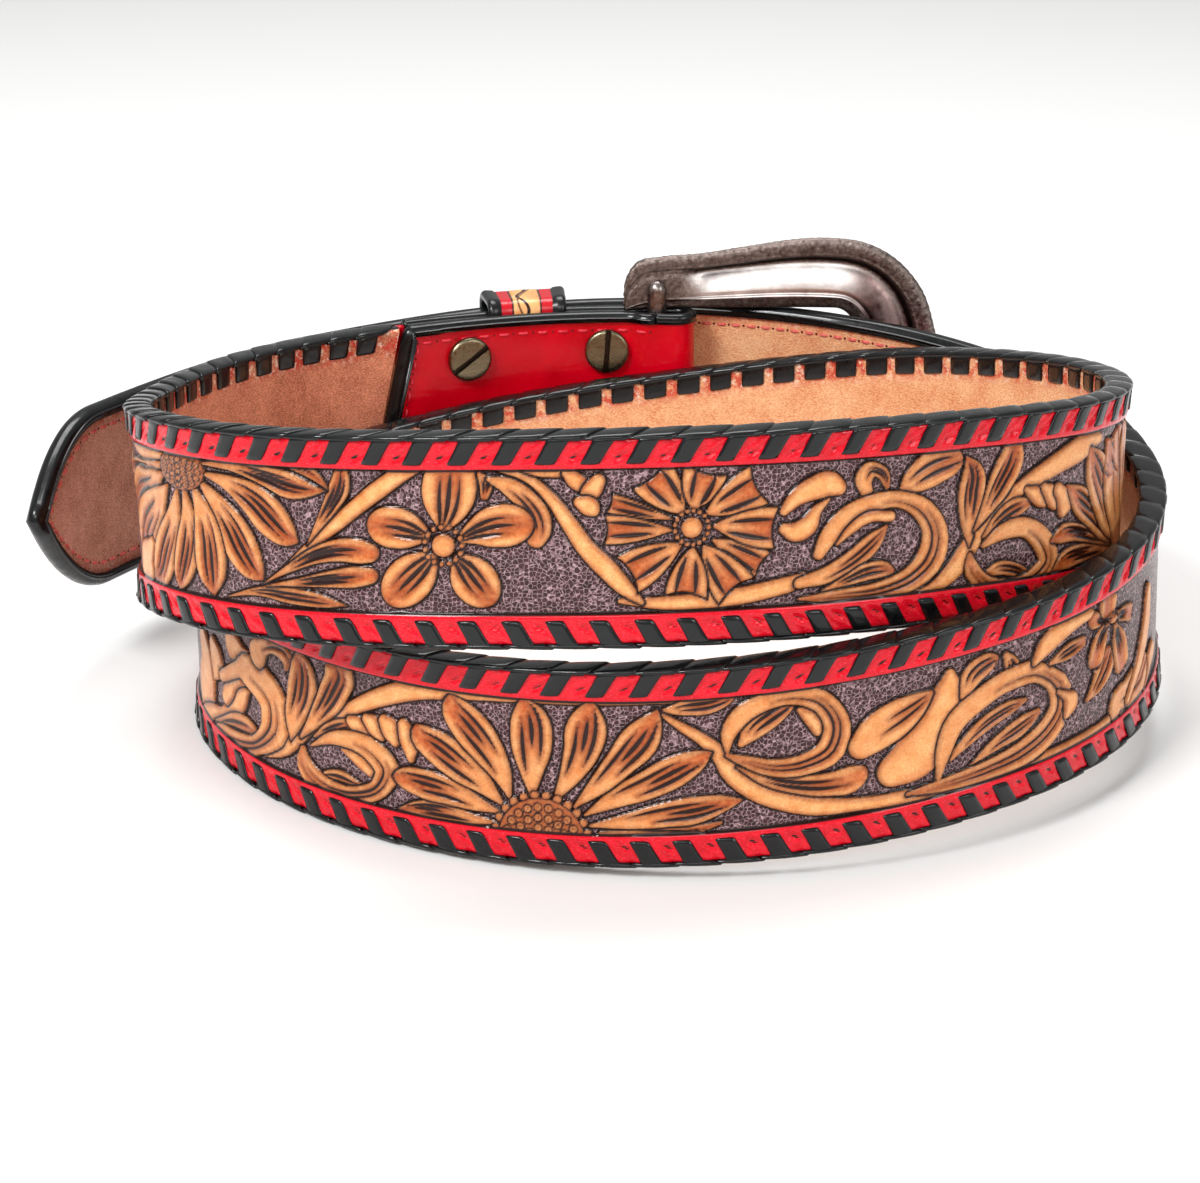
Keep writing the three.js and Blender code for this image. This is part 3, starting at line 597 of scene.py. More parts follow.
def carved_leather():
    s = Shader("carved_leather", 0.42, specular=0.14)
    motif = s.step(s.field("motif"), -0.05, 0.05)
    field = s.step(s.field("border"), -0.03, 0.03)
    distance = s.field("line")
    line = s.step(distance, 0.3, 0.13)
    coords = s.vector("strap_place")
    wander = s.math("MULTIPLY", s.noise(0.9, 3, 0.6, coords), 0.9)
    burn = s.step(s.math("SUBTRACT", distance, wander), 0.75, -0.35)
    grain = s.noise(0.35, 5, 0.65, coords)
    tan = s.ramp(grain, [(0.3, TAN), (0.75, TAN_LIGHT)])
    mottle = s.ramp(s.noise(2.6, 4, 0.7, coords), [(0.4, 0.0), (0.68, 0.5)])
    tan = s.mix(mottle, tan, TAN_DARK)
    streak = s.ramp(s.noise(1.1, 3, 0.6, coords), [(0.35, 0.7), (0.65, 1.0)])
    amber = s.math("MULTIPLY", s.field("shade"), streak)
    body = s.mix(amber, tan, AMBER)
    body = s.mix(s.math("MULTIPLY", burn, 0.75), body, BURNT)
    # Painted highlight: thin light lines along the pebble-cell edges, patchy by noise, stand in for glints
    # of light on the ground's pebble rims; thread is the share of that painted glint.
    net = s.cells(1.3, coords, feature="DISTANCE_TO_EDGE", randomness=0.75)
    pebble = s.step(net, 0.03, 0.2)
    glint = s.ramp(s.noise(1.5, 3, 0.7, coords), [(0.38, 0.2), (0.62, 1.0)])
    thread = s.math("MULTIPLY", s.step(net, 0.15, 0.02), glint)
    deep = s.ramp(s.noise(0.5, 4, 0.6, coords), [(0.3, GROUND_DEEP), (0.7, GROUND)])
    floor = s.mix(thread, deep, GROUND_PAINTED_GLINT)
    body = s.mix(motif, floor, body)
    body = s.mix(line, body, CUT)
    red = s.ramp(s.noise(0.5, 3, 0.5, coords), [(0.3, RED), (0.7, RED_LIGHT)])
    # Painted highlight: pink streaks on the red border stand in for its sheen.
    painted_sheen = s.ramp(s.noise(1.6, 4, 0.7, coords, (1, 2.4, 1)), [(0.56, 0.0), (0.68, 0.5)])
    red = s.mix(painted_sheen, red, RED_PAINTED_SHEEN)
    red = s.mix(line, red, CUT)
    s.color(s.mix(field, red, body))
    s.rough(s.mix(field, 0.22, s.mix(motif, 0.3, 0.36)))
    under = s.math("MULTIPLY", field, s.math("SUBTRACT", 1.0, motif))
    high = s.math("MULTIPLY", pebble, under)
    s.bump(high, 0.9, 0.0004)
    s.bump(s.noise(1400, 3, 0.6), 0.2, 0.00012)
    s.bump(s.noise(420, 3, 0.6), 0.22, 0.0003)
    return s.coat(0.3, 0.09).material


def keeper_leather():
    s = Shader("keeper_leather", 0.3, specular=0.4)
    across = s.field("across")
    aside = s.math("ABSOLUTE", across)
    along = s.field("along")
    wave = s.math("SINE", s.math("MULTIPLY", along, TAU / KEEPER_REPEAT))
    leaf = s.math("ADD", s.math("MULTIPLY", wave, 1.1), 0.7)
    gap = s.math("ABSOLUTE", s.math("SUBTRACT", across, leaf))
    vein = s.step(gap, 0.5, 0.26)
    other = s.math("SINE", s.math("MULTIPLY", along, TAU / KEEPER_REPEAT * 0.5))
    second = s.math("ABSOLUTE", s.math("ADD", across, s.math("MULTIPLY", other, 1.9)))
    vein = s.math("MAXIMUM", vein, s.math("MULTIPLY", s.step(second, 0.34, 0.14), 0.85))
    speck = s.step(s.cells(1.7, s.vector("band_place")), 0.2, 0.12)
    tan = s.ramp(s.noise(300, 3), [(0.3, TAN), (0.7, TAN_LIGHT)])
    body = s.mix(vein, tan, CUT)
    body = s.mix(s.step(aside, 2.75, 3.05), body, CUT)
    stripe = s.mix(s.math("MULTIPLY", speck, 0.7), RED, CUT)
    body = s.mix(s.step(aside, 3.25, 3.4), body, stripe)
    body = s.mix(s.step(aside, 5.6, 5.8), body, linear(8, 9, 10))
    s.color(body)
    s.bump(s.noise(900, 3), 0.15, 0.0002)
    return s.coat(0.15, 0.15).material


def plain_grain(name, roughness, dark, light):
    s = Shader(name, roughness, specular=0.3)
    grain = s.noise(1800, 3, 0.6)
    s.color(s.ramp(grain, [(0.35, dark), (0.7, light)]))
    s.bump(grain, 0.3, 0.0001)
    return s.material


def aged_metal(name, light, dark, roughness, grain, stretch):
    s = Shader(name, roughness, metallic=1.0)
    wide = s.noise(grain, 4, 0.65, stretch=stretch)
    body = s.ramp(wide, [(0.25, dark), (0.75, light)])
    # The dark field paints shade: on the screws it darkens the slot and the head's rim edge.
    s.color(s.mix(s.field("dark"), body, linear(52, 44, 36)))
    s.rough(s.ramp(s.noise(grain * 1.7, 3), [(0.3, roughness * 0.8), (0.75, roughness * 1.3)]))
    s.bump(s.noise(grain * 2.4, 3, 0.6), 0.14, 0.0001)
    return s.material


def cast_metal():
    """Antiqued casting: dull brown rims, dark grooves and a polished hollow, by its fields; towards the
    broad end the polished hollow has painted reflections of the leather.
    """
    s = Shader("buckle_metal", 0.4, metallic=1.0)
    pits = s.noise(1100, 4, 0.7)
    dull = s.ramp(pits, [(0.32, linear(84, 72, 68)), (0.55, linear(130, 117, 111)),
                         (0.75, linear(168, 156, 150))])
    bright = s.ramp(s.noise(260, 3, 0.6), [(0.3, linear(206, 196, 192)), (0.7, linear(248, 242, 238))])
    # Painted reflection: brown, grey and red patches in the polished hollow towards the broad end stand in
    # for the leather mirrored in it.
    painted_reflection = s.ramp(s.noise(110, 4, 0.7), [(0.36, linear(64, 40, 38)), (0.56, linear(150, 128, 124)),
                                       (0.74, linear(120, 50, 52))])
    bright = s.mix(s.field("painted_reflection"), bright, painted_reflection)
    body = s.mix(s.field("polish"), dull, bright)
    s.color(s.mix(s.field("dark"), body, linear(34, 26, 24)))
    s.rough(s.mix(s.field("polish"), s.ramp(pits, [(0.3, 0.34), (0.75, 0.6)]), 0.33))
    rough_share = s.math("SUBTRACT", 1.0, s.math("MULTIPLY", s.field("polish"), 0.85))
    s.bump(s.math("MULTIPLY", s.noise(900, 4, 0.7), rough_share), 0.6, 0.0003)
    return s.material


MAT_BLACK = black_leather("black_lace")
MAT_RED = red_leather("red_leather")
MAT_CARVED = carved_leather()
SUEDE_TONES = ((SUEDE_PINK, SUEDE_PINK_DARK), (SUEDE_ORANGE, SUEDE_ORANGE_DARK))
TIP_TONES = ((SUEDE_ORANGE, SUEDE_ORANGE_DARK), (SUEDE_TIP, SUEDE_TIP_DARK))
MAT_SUEDE = suede("suede", SUEDE_TONES)
MAT_SUEDE_TIP = suede("suede_tip", TIP_TONES)
MAT_THREAD = plain_grain("red_thread", 0.6, THREAD, THREAD_LIGHT)
MAT_PANEL_THREAD = plain_grain("panel_thread", 0.4, PANEL_THREAD, PANEL_THREAD_LIGHT)
MAT_HOLE_SHADE = plain_grain("stitch_hole_shade", 0.8, HOLE_SHADE_DEEP, HOLE_SHADE)
MAT_KEEPER = keeper_leather()
MAT_SCREW = aged_metal("screw_metal", linear(148, 138, 112), linear(112, 102, 80), 0.3, 900, (0.2, 0.2, 1))
MAT_PIN = aged_metal("pin_metal", linear(172, 162, 158), linear(92, 80, 76), 0.3, 600, (1, 1, 1))
MAT_CAST = cast_metal()


# Tooled strap: the carved outer skin and the suede inner skin.
FIELD_LOW = BORDER
FIELD_HIGH = STRAP_WIDTH - BORDER


# The photograph's camera, in the route's own millimetres and the photograph's own pixels.
PHOTO_WIDTH = 1200
PHOTO_HEIGHT = 1183
FOCAL = 2980
CAMERA_DISTANCE = 581.0
CAMERA_ANGLE = math.radians(21)
CAMERA_YAW = -0.10
CAMERA_TARGET = (-1.6, 0.0, 24.1)


def seen_pixels(points):
    """Pixels of the photograph where points in the route's millimetres are seen."""
    x, y, z = np.moveaxis(points, -1, 0)
    side = x * math.cos(CAMERA_YAW) - y * math.sin(CAMERA_YAW) - CAMERA_TARGET[0]
    far = x * math.sin(CAMERA_YAW) + y * math.cos(CAMERA_YAW)
    high = z - CAMERA_TARGET[2]
    sine, cosine = math.sin(CAMERA_ANGLE), math.cos(CAMERA_ANGLE)
    depth = CAMERA_DISTANCE + far * cosine - high * sine
    return (
        PHOTO_WIDTH / 2 + FOCAL * side / depth,
        PHOTO_HEIGHT / 2 - FOCAL * (high * cosine + far * sine) / depth,
    )


def height_seen(turn, v):
    """Height on the strap's outer face where a pixel row meets it, at a turn."""
    up = np.full_like(turn, MIDDLE)
    sine, cosine = math.sin(CAMERA_ANGLE), math.cos(CAMERA_ANGLE)
    slope = (PHOTO_HEIGHT / 2 - v) / FOCAL
    for _ in range(3):
        x, y, z = np.moveaxis(place_mm(turn, LEATHER_HALF, up), -1, 0)
        far = x * math.sin(CAMERA_YAW) + y * math.cos(CAMERA_YAW)
        high = (slope * (CAMERA_DISTANCE + far * cosine) - far * sine) / (cosine + slope * sine)
        up = np.clip(up + high + CAMERA_TARGET[2] - z, -20, 60)
    return up


def photo_to_strap(u, v, low_turn, high_turn):
    """Run and height on the strap's outer face behind pixels of the photograph."""
    u, v = np.asarray(u, float), np.asarray(v, float)
    low = np.full(u.shape, low_turn)
    high = np.full(u.shape, high_turn)
    for _ in range(30):
        turn = (low + high) / 2
        up = height_seen(turn, v)
        before = seen_pixels(place_mm(turn, LEATHER_HALF, up))[0] < u
        low = np.where(before, turn, low)
        high = np.where(before, high, turn)
    return np.stack([run_of(turn), up], -1)


def silhouette(low_turn, high_turn, sign):
    turns = np.linspace(low_turn, high_turn, 300)
    return turns[np.argmax(sign * seen_pixels(place_mm(turns, LEATHER_HALF, MIDDLE))[0])]


TOP_LEFT = silhouette(0.2, 0.35, -1)
TOP_RIGHT = silhouette(0.65, 0.8, 1)
LOW_LEFT = silhouette(1.2, 1.35, -1)
LOW_RIGHT = silhouette(1.65, 1.8, 1)

# Carved motifs by kind. Cuts: place across, start and end along, half a width in millimetres.
KINDS = {
    "stem": dict(hollow=-0.08, amber=0.25, cuts=()),
    "plain": dict(hollow=0.05, amber=0.45, cuts=()),
    "petal": dict(hollow=0.32, amber=1.0, cuts=(
        (-0.36, 0.3, 0.86, 0.26), (0.04, 0.42, 0.93, 0.34), (0.42, 0.3, 0.78, 0.2),
    )),
    "round": dict(hollow=0.36, amber=0.95, cuts=(
        (-0.36, 0.0, 0.72, 0.22), (0.0, 0.0, 0.86, 0.32), (0.34, 0.0, 0.74, 0.24),
    )),
    "flare": dict(hollow=0.28, amber=1.0, blunt=0.22, cuts=(
        (-0.5, 0.2, 0.97, 0.32), (0.4, 0.25, 0.97, 0.28),
    )),
    "leaf": dict(hollow=0.24, amber=0.85, cuts=((-0.3, 0.25, 0.93, 0.28), (0.28, 0.2, 0.85, 0.26))),
    "scroll": dict(hollow=0.12, amber=0.7, cuts=((-0.25, 0.25, 0.92, 0.18), (0.22, 0.4, 0.95, 0.15))),
    "daisy": dict(hollow=0.3, amber=1.0, cuts=(
        (-0.45, 0.4, 0.9, 0.27), (-0.02, 0.5, 0.84, 0.32), (0.42, 0.25, 0.76, 0.26),
    )),
}

# Petals of the ten-petal flower: pixels of the foot and the tip, and half the tip's width.
FLARED_PETALS = [
    (672, 520, 609, 504, 10), (671, 531, 604, 531, 15), (683, 513, 650, 475, 23), (714, 541, 764, 567, 16),
    (680, 546, 627, 576, 21), (694, 508, 707, 470, 22), (705, 548, 737, 592, 22), (708, 514, 761, 485, 21),
    (693, 550, 686, 598, 21), (716, 527, 778, 529, 21),
]


def flared(foot_u, foot_v, tip_u, tip_v, width):
    """A petal that widens to a hollow-edged tip."""
    shares = ((0, 0.14), (0.3, 0.55), (0.6, 0.86), (0.85, 1.0), (1, 1.0))
    return ("flare", *(
        (foot_u + (tip_u - foot_u) * s, foot_v + (tip_v - foot_v) * s, width * w) for s, w in shares
    ))


# Motifs on the upper turn: kind, then pixel across, pixel down and half a width of the spine's points.
UPPER_MOTIFS = [
    ("stem", (620, 602, 3), (660, 604, 7), (700, 602, 8), (740, 597, 9), (775, 589, 9), (805, 581, 8)),
    ("stem", (470, 467, 3), (500, 470, 4), (530, 481, 5), (552, 501, 7), (570, 526, 9), (586, 549, 10),
     (606, 569, 11), (624, 588, 9), (642, 603, 3)),
    ("stem", (263, 585, 1), (285, 567, 3), (310, 545, 5), (335, 525, 8), (355, 508, 9), (378, 490, 10),
     (400, 475, 9), (425, 464, 5), (440, 461, 2)),
    ("stem", (903, 599, 2), (935, 588, 6), (955, 570, 9), (970, 548, 9), (985, 525, 6), (1005, 503, 6),
     (1035, 480, 8), (1060, 463, 9), (1085, 447, 9), (1100, 438, 4)),
    ("leaf", (225, 597, 1), (258, 592, 5), (290, 597, 8), (320, 602, 7), (345, 607, 1)),
    ("petal", (306, 545, 1), (318, 525, 5), (330, 505, 9), (338, 488, 11), (339, 474, 7), (334, 465, 1)),
    ("plain", (300, 461, 2), (322, 463, 4), (338, 468, 3)),
    ("petal", (262, 584, 1), (290, 568, 5), (315, 556, 9), (340, 551, 12), (362, 553, 12), (368, 554, 10)),
    ("petal", (265, 586, 1), (300, 583, 5), (330, 580, 9), (355, 578, 11), (368, 577, 9)),
    ("plain", (132, 438, 1), (142, 446, 5), (153, 453, 5), (162, 457, 2)),
    ("petal", (162, 464, 2), (150, 467, 7), (139, 467, 6), (131, 465, 1)),
    ("petal", (162, 474, 2), (150, 483, 8), (141, 491, 7), (136, 500, 1)),
    ("petal", (165, 487, 2), (156, 506, 8), (148, 526, 9), (144, 542, 4), (141, 548, 1)),
    ("plain", (151, 545, 3), (147, 560, 5), (152, 577, 4)),
    ("petal", (175, 492, 2), (172, 520, 7), (165, 550, 10), (160, 570, 7), (154, 580, 1)),
    ("petal", (200, 459, 1), (240, 460, 3), (280, 463, 5), (300, 469, 6), (318, 481, 4), (326, 491, 1)),
    ("petal", (201, 464, 2), (235, 468, 6), (265, 478, 10), (290, 487, 13), (308, 491, 7), (323, 492, 1)),
    ("petal", (202, 474, 2), (228, 485, 8), (253, 502, 15), (270, 520, 17), (283, 534, 12), (296, 544, 1)),
    ("petal", (199, 483, 2), (214, 503, 8), (230, 528, 14), (241, 550, 16), (250, 566, 12), (261, 581, 1)),
    ("petal", (183, 492, 2), (187, 520, 7), (186, 550, 11), (182, 570, 9), (177, 589, 1)),
    ("petal", (192, 489, 2), (202, 515, 9), (208, 545, 14), (210, 568, 14), (211, 584, 7), (212, 596, 1)),
    ("leaf", (478, 475, 3), (485, 485, 7), (484, 497, 5)),
    ("scroll", (488, 480, 3), (507, 487, 9), (526, 502, 12), (538, 520, 13), (540, 533, 11),
     (536, 540, 10)),
    ("plain", (520, 470, 2), (538, 472, 6), (556, 474, 5), (572, 474, 5)),
    ("plain", (566, 474, 5), (576, 482, 9), (583, 487, 8)),
    ("plain", (598, 482, 8), (591, 492, 10), (586, 497, 7)),
    ("plain", (580, 503, 7), (590, 508, 10), (594, 512, 6)),
    ("round", (443, 527, 6), (446, 510, 19), (448, 492, 28), (449, 477, 24), (449, 467, 13), (449, 463, 2)),
    ("round", (426, 537, 5), (412, 533, 14), (396, 529, 21), (383, 527, 18), (376, 526, 9), (374, 526, 2)),
    ("round", (461, 539, 5), (478, 532, 14), (498, 527, 22), (513, 526, 19), (522, 526, 9), (525, 526, 2)),
    ("round", (431, 558, 6), (420, 569, 17), (409, 580, 24), (399, 590, 20), (392, 597, 9), (390, 599, 2)),
    ("round", (456, 560, 5), (465, 570, 15), (474, 582, 23), (482, 592, 18), (487, 599, 8), (489, 601, 2)),
    *(flared(*row) for row in FLARED_PETALS),
    ("plain", (785, 512, 5), (798, 498, 9), (815, 489, 12), (832, 485, 13), (840, 488, 9)),
    ("plain", (830, 500, 2), (817, 512, 6), (808, 527, 10), (795, 533, 10), (786, 530, 7)),
    ("scroll", (868, 492, 7), (865, 480, 9), (872, 470, 8), (884, 474, 7), (889, 488, 3)),
    ("leaf", (902, 491, 2), (918, 479, 13), (938, 467, 17), (955, 461, 12), (964, 458, 2)),
    ("petal", (970, 547, 1), (971, 520, 9), (973, 495, 13), (975, 475, 11), (969, 457, 1)),
    ("petal", (975, 532, 1), (990, 506, 7), (1003, 481, 12), (1013, 460, 12), (1017, 442, 7)),
    ("scroll", (800, 584, 6), (830, 575, 9), (855, 560, 10), (874, 543, 9), (888, 527, 2)),
    ("scroll", (820, 555, 6), (828, 540, 9), (846, 520, 11), (870, 506, 10), (900, 500, 9), (924, 510, 12),
     (936, 530, 13), (932, 558, 14), (914, 578, 12), (884, 591, 10), (840, 597, 7), (800, 600, 2)),
    ("plain", (838, 545, 2), (852, 530, 5), (870, 518, 6), (892, 517, 6)),
    ("leaf", (822, 592, 1), (850, 580, 6), (870, 572, 9), (888, 570, 7), (897, 572, 1)),
    ("leaf", (985, 537, 2), (1000, 521, 7), (1018, 508, 9), (1030, 503, 5)),
    ("plain", (1028, 490, 4), (1040, 497, 9), (1046, 503, 5)),
    ("plain", (1046, 488, 5), (1055, 497, 9), (1058, 504, 5)),
    ("plain", (1060, 490, 6), (1066, 500, 8), (1064, 512, 4)),
    ("leaf", (985, 576, 2), (1000, 569, 7), (1020, 571, 7), (1036, 579, 2)),
    ("scroll", (985, 546, 3), (1005, 532, 8), (1028, 528, 11), (1044, 541, 11), (1050, 560, 9),
     (1038, 578, 10), (1010, 588, 9), (985, 583, 9), (973, 569, 8), (971, 556, 3)),
    ("daisy", (1113, 548, 2), (1088, 552, 7), (1068, 560, 8), (1055, 572, 2)),
    ("daisy", (1113, 543, 2), (1090, 535, 8), (1068, 533, 9), (1054, 541, 2)),
    ("daisy", (1112, 537, 2), (1098, 517, 9), (1083, 502, 11), (1071, 488, 3)),
    ("daisy", (1112, 532, 2), (1106, 500, 9), (1098, 472, 10), (1092, 450, 2)),
    ("daisy", (1116, 530, 2), (1118, 500, 7), (1115, 470, 9), (1110, 443, 2)),
    ("daisy", (1122, 530, 2), (1126, 498, 5), (1127, 468, 5), (1124, 442, 2)),
    ("daisy", (1127, 530, 1), (1131, 498, 3), (1133, 468, 3), (1131, 440, 1)),
]

# Motifs on the lower turn, in the same way.
LOWER_MOTIFS = [
    ("stem", (262, 757, 1), (280, 752, 7), (296, 738, 9), (312, 727, 6), (335, 717, 6), (360, 705, 9),
     (390, 695, 11), (420, 690, 11), (450, 692, 9), (480, 696, 6), (520, 699, 5), (560, 701, 5),
     (600, 702, 5), (650, 703, 3), (680, 703, 2)),
    ("leaf", (658, 713, 1), (685, 709, 8), (710, 706, 9), (726, 701, 6), (738, 696, 1)),
    ("stem", (653, 710, 1), (680, 727, 5), (705, 742, 7), (720, 755, 9), (730, 771, 11), (748, 786, 12),
     (778, 799, 12), (812, 807, 10), (860, 805, 7), (910, 797, 7), (960, 785, 7), (1010, 771, 6),
     (1060, 752, 5), (1110, 722, 4), (1140, 690, 3), (1152, 650, 2)),
    ("plain", (203, 640, 3), (207, 665, 5), (206, 690, 5), (203, 702, 1)),
    ("plain", (212, 645, 3), (216, 662, 5), (214, 678, 1)),
    ("plain", (228, 641, 4), (235, 650, 8), (246, 655, 3)),
    ("plain", (205, 712, 5), (222, 714, 8), (238, 702, 8), (246, 690, 3)),
    ("leaf", (214, 722, 2), (232, 725, 8), (248, 732, 8), (258, 739, 1)),
    ("plain", (225, 697, 4), (232, 684, 6), (245, 680, 7), (258, 690, 6), (264, 702, 1)),
    ("scroll", (221, 676, 6), (240, 669, 10), (260, 684, 12), (273, 708, 13), (271, 732, 13),
     (254, 746, 11), (234, 743, 8), (214, 728, 2)),
    ("scroll", (257, 664, 3), (257, 651, 9), (270, 645, 10), (284, 650, 10), (289, 661, 8), (284, 669, 3)),
    ("petal", (290, 740, 1), (293, 717, 9), (300, 693, 14), (301, 673, 11), (295, 655, 2)),
    ("petal", (300, 737, 2), (318, 715, 10), (332, 693, 15), (338, 677, 14), (328, 660, 4)),
    ("leaf", (313, 737, 2), (328, 731, 8), (345, 726, 7), (352, 725, 3)),
    ("plain", (350, 722, 5), (360, 730, 9), (364, 737, 4)),
    ("plain", (366, 720, 5), (376, 729, 9), (380, 738, 4)),
    ("plain", (384, 722, 6), (392, 733, 10), (394, 744, 4)),
    ("plain", (403, 726, 6), (408, 742, 9), (410, 760, 4)),
    ("leaf", (314, 776, 2), (335, 779, 8), (355, 787, 6), (366, 790, 1)),
    ("plain", (342, 748, 4), (360, 760, 8), (374, 779, 3)),
    ("scroll", (310, 746, 2), (330, 739, 7), (354, 742, 9), (374, 754, 11), (386, 772, 12), (377, 790, 11),
     (354, 796, 9), (330, 791, 9), (312, 778, 9), (303, 763, 7), (302, 750, 3)),
    ("daisy", (497, 824, 2), (468, 819, 6), (440, 812, 9), (415, 809, 7), (396, 810, 1)),
    ("daisy", (600, 834, 2), (640, 835, 4), (690, 832, 5), (722, 824, 2)),
    ("daisy", (590, 827, 2), (630, 822, 9), (665, 816, 13), (697, 811, 14), (722, 805, 9), (744, 801, 1)),
    ("daisy", (499, 813, 2), (475, 804, 8), (447, 792, 13), (420, 784, 14), (402, 779, 9), (392, 777, 1)),
    ("daisy", (585, 816, 2), (615, 800, 10), (648, 786, 15), (678, 771, 16), (698, 761, 10), (712, 753, 1)),
    ("daisy", (503, 806, 2), (482, 785, 10), (456, 764, 16), (436, 748, 16), (422, 738, 11), (414, 726, 1)),
    ("daisy", (574, 808, 2), (600, 785, 11), (622, 762, 16), (641, 740, 19), (650, 726, 12), (658, 711, 1)),
    ("daisy", (510, 800, 2), (501, 775, 10), (486, 750, 16), (468, 727, 18), (455, 711, 13), (448, 696, 1)),
    ("daisy", (555, 800, 3), (571, 775, 12), (582, 750, 19), (586, 730, 21), (588, 716, 13), (592, 703, 1)),
    ("daisy", (532, 797, 3), (531, 770, 13), (531, 745, 21), (530, 725, 20), (526, 711, 11), (520, 700, 1)),
    ("leaf", (737, 768, 1), (765, 780, 6), (800, 786, 9), (832, 785, 12), (855, 779, 12), (860, 776, 9)),
    ("plain", (800, 711, 3), (812, 718, 9), (819, 732, 6)),
    ("leaf", (742, 745, 4), (756, 729, 11), (774, 716, 11), (796, 703, 3)),
    ("scroll", (728, 755, 2), (729, 736, 8), (742, 716, 10), (766, 703, 9), (796, 697, 9), (822, 702, 12),
     (838, 725, 14), (832, 750, 14), (806, 765, 11), (775, 769, 9), (745, 762, 6), (727, 756, 2)),
    ("plain", (951, 676, 6), (948, 700, 17), (935, 730, 23), (915, 757, 22), (896, 770, 16)),
    ("scroll", (864, 746, 13), (878, 733, 18), (896, 721, 18), (915, 708, 12), (932, 694, 3)),
    ("leaf", (1008, 656, 4), (1014, 666, 8), (1019, 678, 4)),
    ("leaf", (966, 695, 5), (974, 676, 10), (990, 663, 8), (1000, 658, 2)),
    ("scroll", (945, 768, 1), (965, 745, 5), (990, 722, 7), (1012, 708, 6), (1028, 700, 2)),
    ("scroll", (972, 766, 1), (998, 744, 6), (1022, 727, 8), (1040, 712, 3)),
    ("scroll", (940, 778, 3), (945, 752, 8), (956, 724, 10), (980, 701, 10), (1010, 681, 10),
     (1040, 673, 11),
     (1060, 686, 11), (1062, 705, 10), (1050, 730, 11), (1026, 752, 11), (990, 770, 9), (950, 784, 7),
     (908, 795, 2)),
    ("stem", (1036, 663, 3), (1048, 645, 8), (1068, 627, 8), (1092, 614, 4)),
    ("leaf", (1052, 664, 2), (1070, 652, 6), (1085, 642, 4)),
    ("leaf", (1088, 702, 1), (1100, 682, 6), (1108, 662, 7), (1112, 648, 1)),
    ("plain", (1060, 692, 3), (1072, 700, 7), (1068, 715, 3)),
    ("scroll", (1116, 718, 3), (1118, 702, 6), (1130, 690, 7), (1141, 672, 6), (1140, 655, 2)),
    ("stem", (1128, 700, 2), (1140, 660, 3), (1147, 620, 3), (1149, 590, 2)),
    ("round", (1109, 620, 3), (1101, 621, 7), (1097, 621, 9)),
    ("round", (1112, 614, 2), (1110, 606, 6), (1110, 603, 8)),
    ("round", (1119, 616, 3), (1127, 613, 6), (1131, 612, 7)),
    ("round", (1108, 626, 2), (1102, 640, 6), (1098, 656, 7)),
    ("round", (1117, 626, 2), (1121, 643, 6), (1123, 660, 6)),
]

# Round middles: turn (upper or lower), pixel across and down, radius, beads round it, dotted rings.
MIDDLES = [
    ("upper", 443, 546, 12, 15, 0),
    ("upper", 692, 528, 11, 17, 0),
    ("upper", 179, 469, 21, 0, 3),
    ("upper", 1122, 545, 12, 0, 2),
    ("lower", 541, 843, 44, 26, 4),
    ("lower", 1114, 619, 4, 8, 0),
]


def spread(rows, count):
    """Rows evenly spread along a Catmull-Rom curve through a few rows."""
    rows = np.asarray(rows, float)
    steps = np.linalg.norm(np.diff(rows[:, :2], axis=0), axis=1)
    key = np.concatenate([[0], np.cumsum(steps)])
    slopes = np.gradient(rows, key, axis=0)
    at = np.linspace(0, key[-1], count)
    i = np.clip(np.searchsorted(key, at, side="right") - 1, 0, len(key) - 2)
    width = (key[i + 1] - key[i])[:, None]
    f = (at - key[i])[:, None] / width
    f2, f3 = f * f, f * f * f
    return (
        (2 * f3 - 3 * f2 + 1) * rows[i] + (f3 - 2 * f2 + f) * slopes[i] * width
        + (3 * f2 - 2 * f3) * rows[i + 1] + (f3 - f2) * slopes[i + 1] * width
    )


def placed_ribbon(kind, rows, low_turn, high_turn):
    """A motif's spine and half widths on the strap, from its place in the photograph."""
    rows = spread(rows, 7 + 3 * len(rows))
    ahead = np.gradient(rows[:, :2], axis=0)
    ahead /= np.linalg.norm(ahead, axis=1)[:, None]
    side = np.stack([-ahead[:, 1], ahead[:, 0]], -1) * np.maximum(rows[:, 2:], 0.6)
    one, two = (
        photo_to_strap(*(rows[:, :2] + sign * side).T, low_turn, high_turn) for sign in (-1, 1)
    )
    return kind, (one + two) / 2, np.linalg.norm(one - two, axis=1) / 2


def placed_middle(turn_name, u, v, radius, beads, rings):
    limits = (TOP_LEFT, TOP_RIGHT) if turn_name == "upper" else (LOW_LEFT, LOW_RIGHT)
    points = photo_to_strap([u, u - radius * 0.7, u + radius * 0.7, u, u],
                            [v, v, v, v - radius, v + radius], *limits)
    radii = np.array([np.ptp(points[1:3, 0]) / 1.4, np.ptp(points[3:, 1]) / 2])
    return "middle", points[0], radii, beads, rings


def mirrored(shape, seam):
    """The same motif on the other side of a seam across the strap."""
    spine = shape[1] * (-1, 1) + (2 * seam, 0)
    return (shape[0], spine, *shape[2:])


def all_motifs():
    upper = [placed_ribbon(kind, rows, TOP_LEFT, TOP_RIGHT) for kind, *rows in UPPER_MOTIFS]
    lower = [placed_ribbon(kind, rows, LOW_LEFT, LOW_RIGHT) for kind, *rows in LOWER_MOTIFS]
    for middle in MIDDLES:
        (upper if middle[0] == "upper" else lower).append(placed_middle(*middle))
    before = [mirrored(shape, run_of(TOP_LEFT)) for shape in upper]
    back = [mirrored(shape, run_of(TOP_RIGHT)) for shape in upper]
    after = [mirrored(shape, run_of(LOW_RIGHT)) for shape in lower]
    return before + back + after + upper + lower


MOTIFS = all_motifs()
LINE_FAR = 1.4


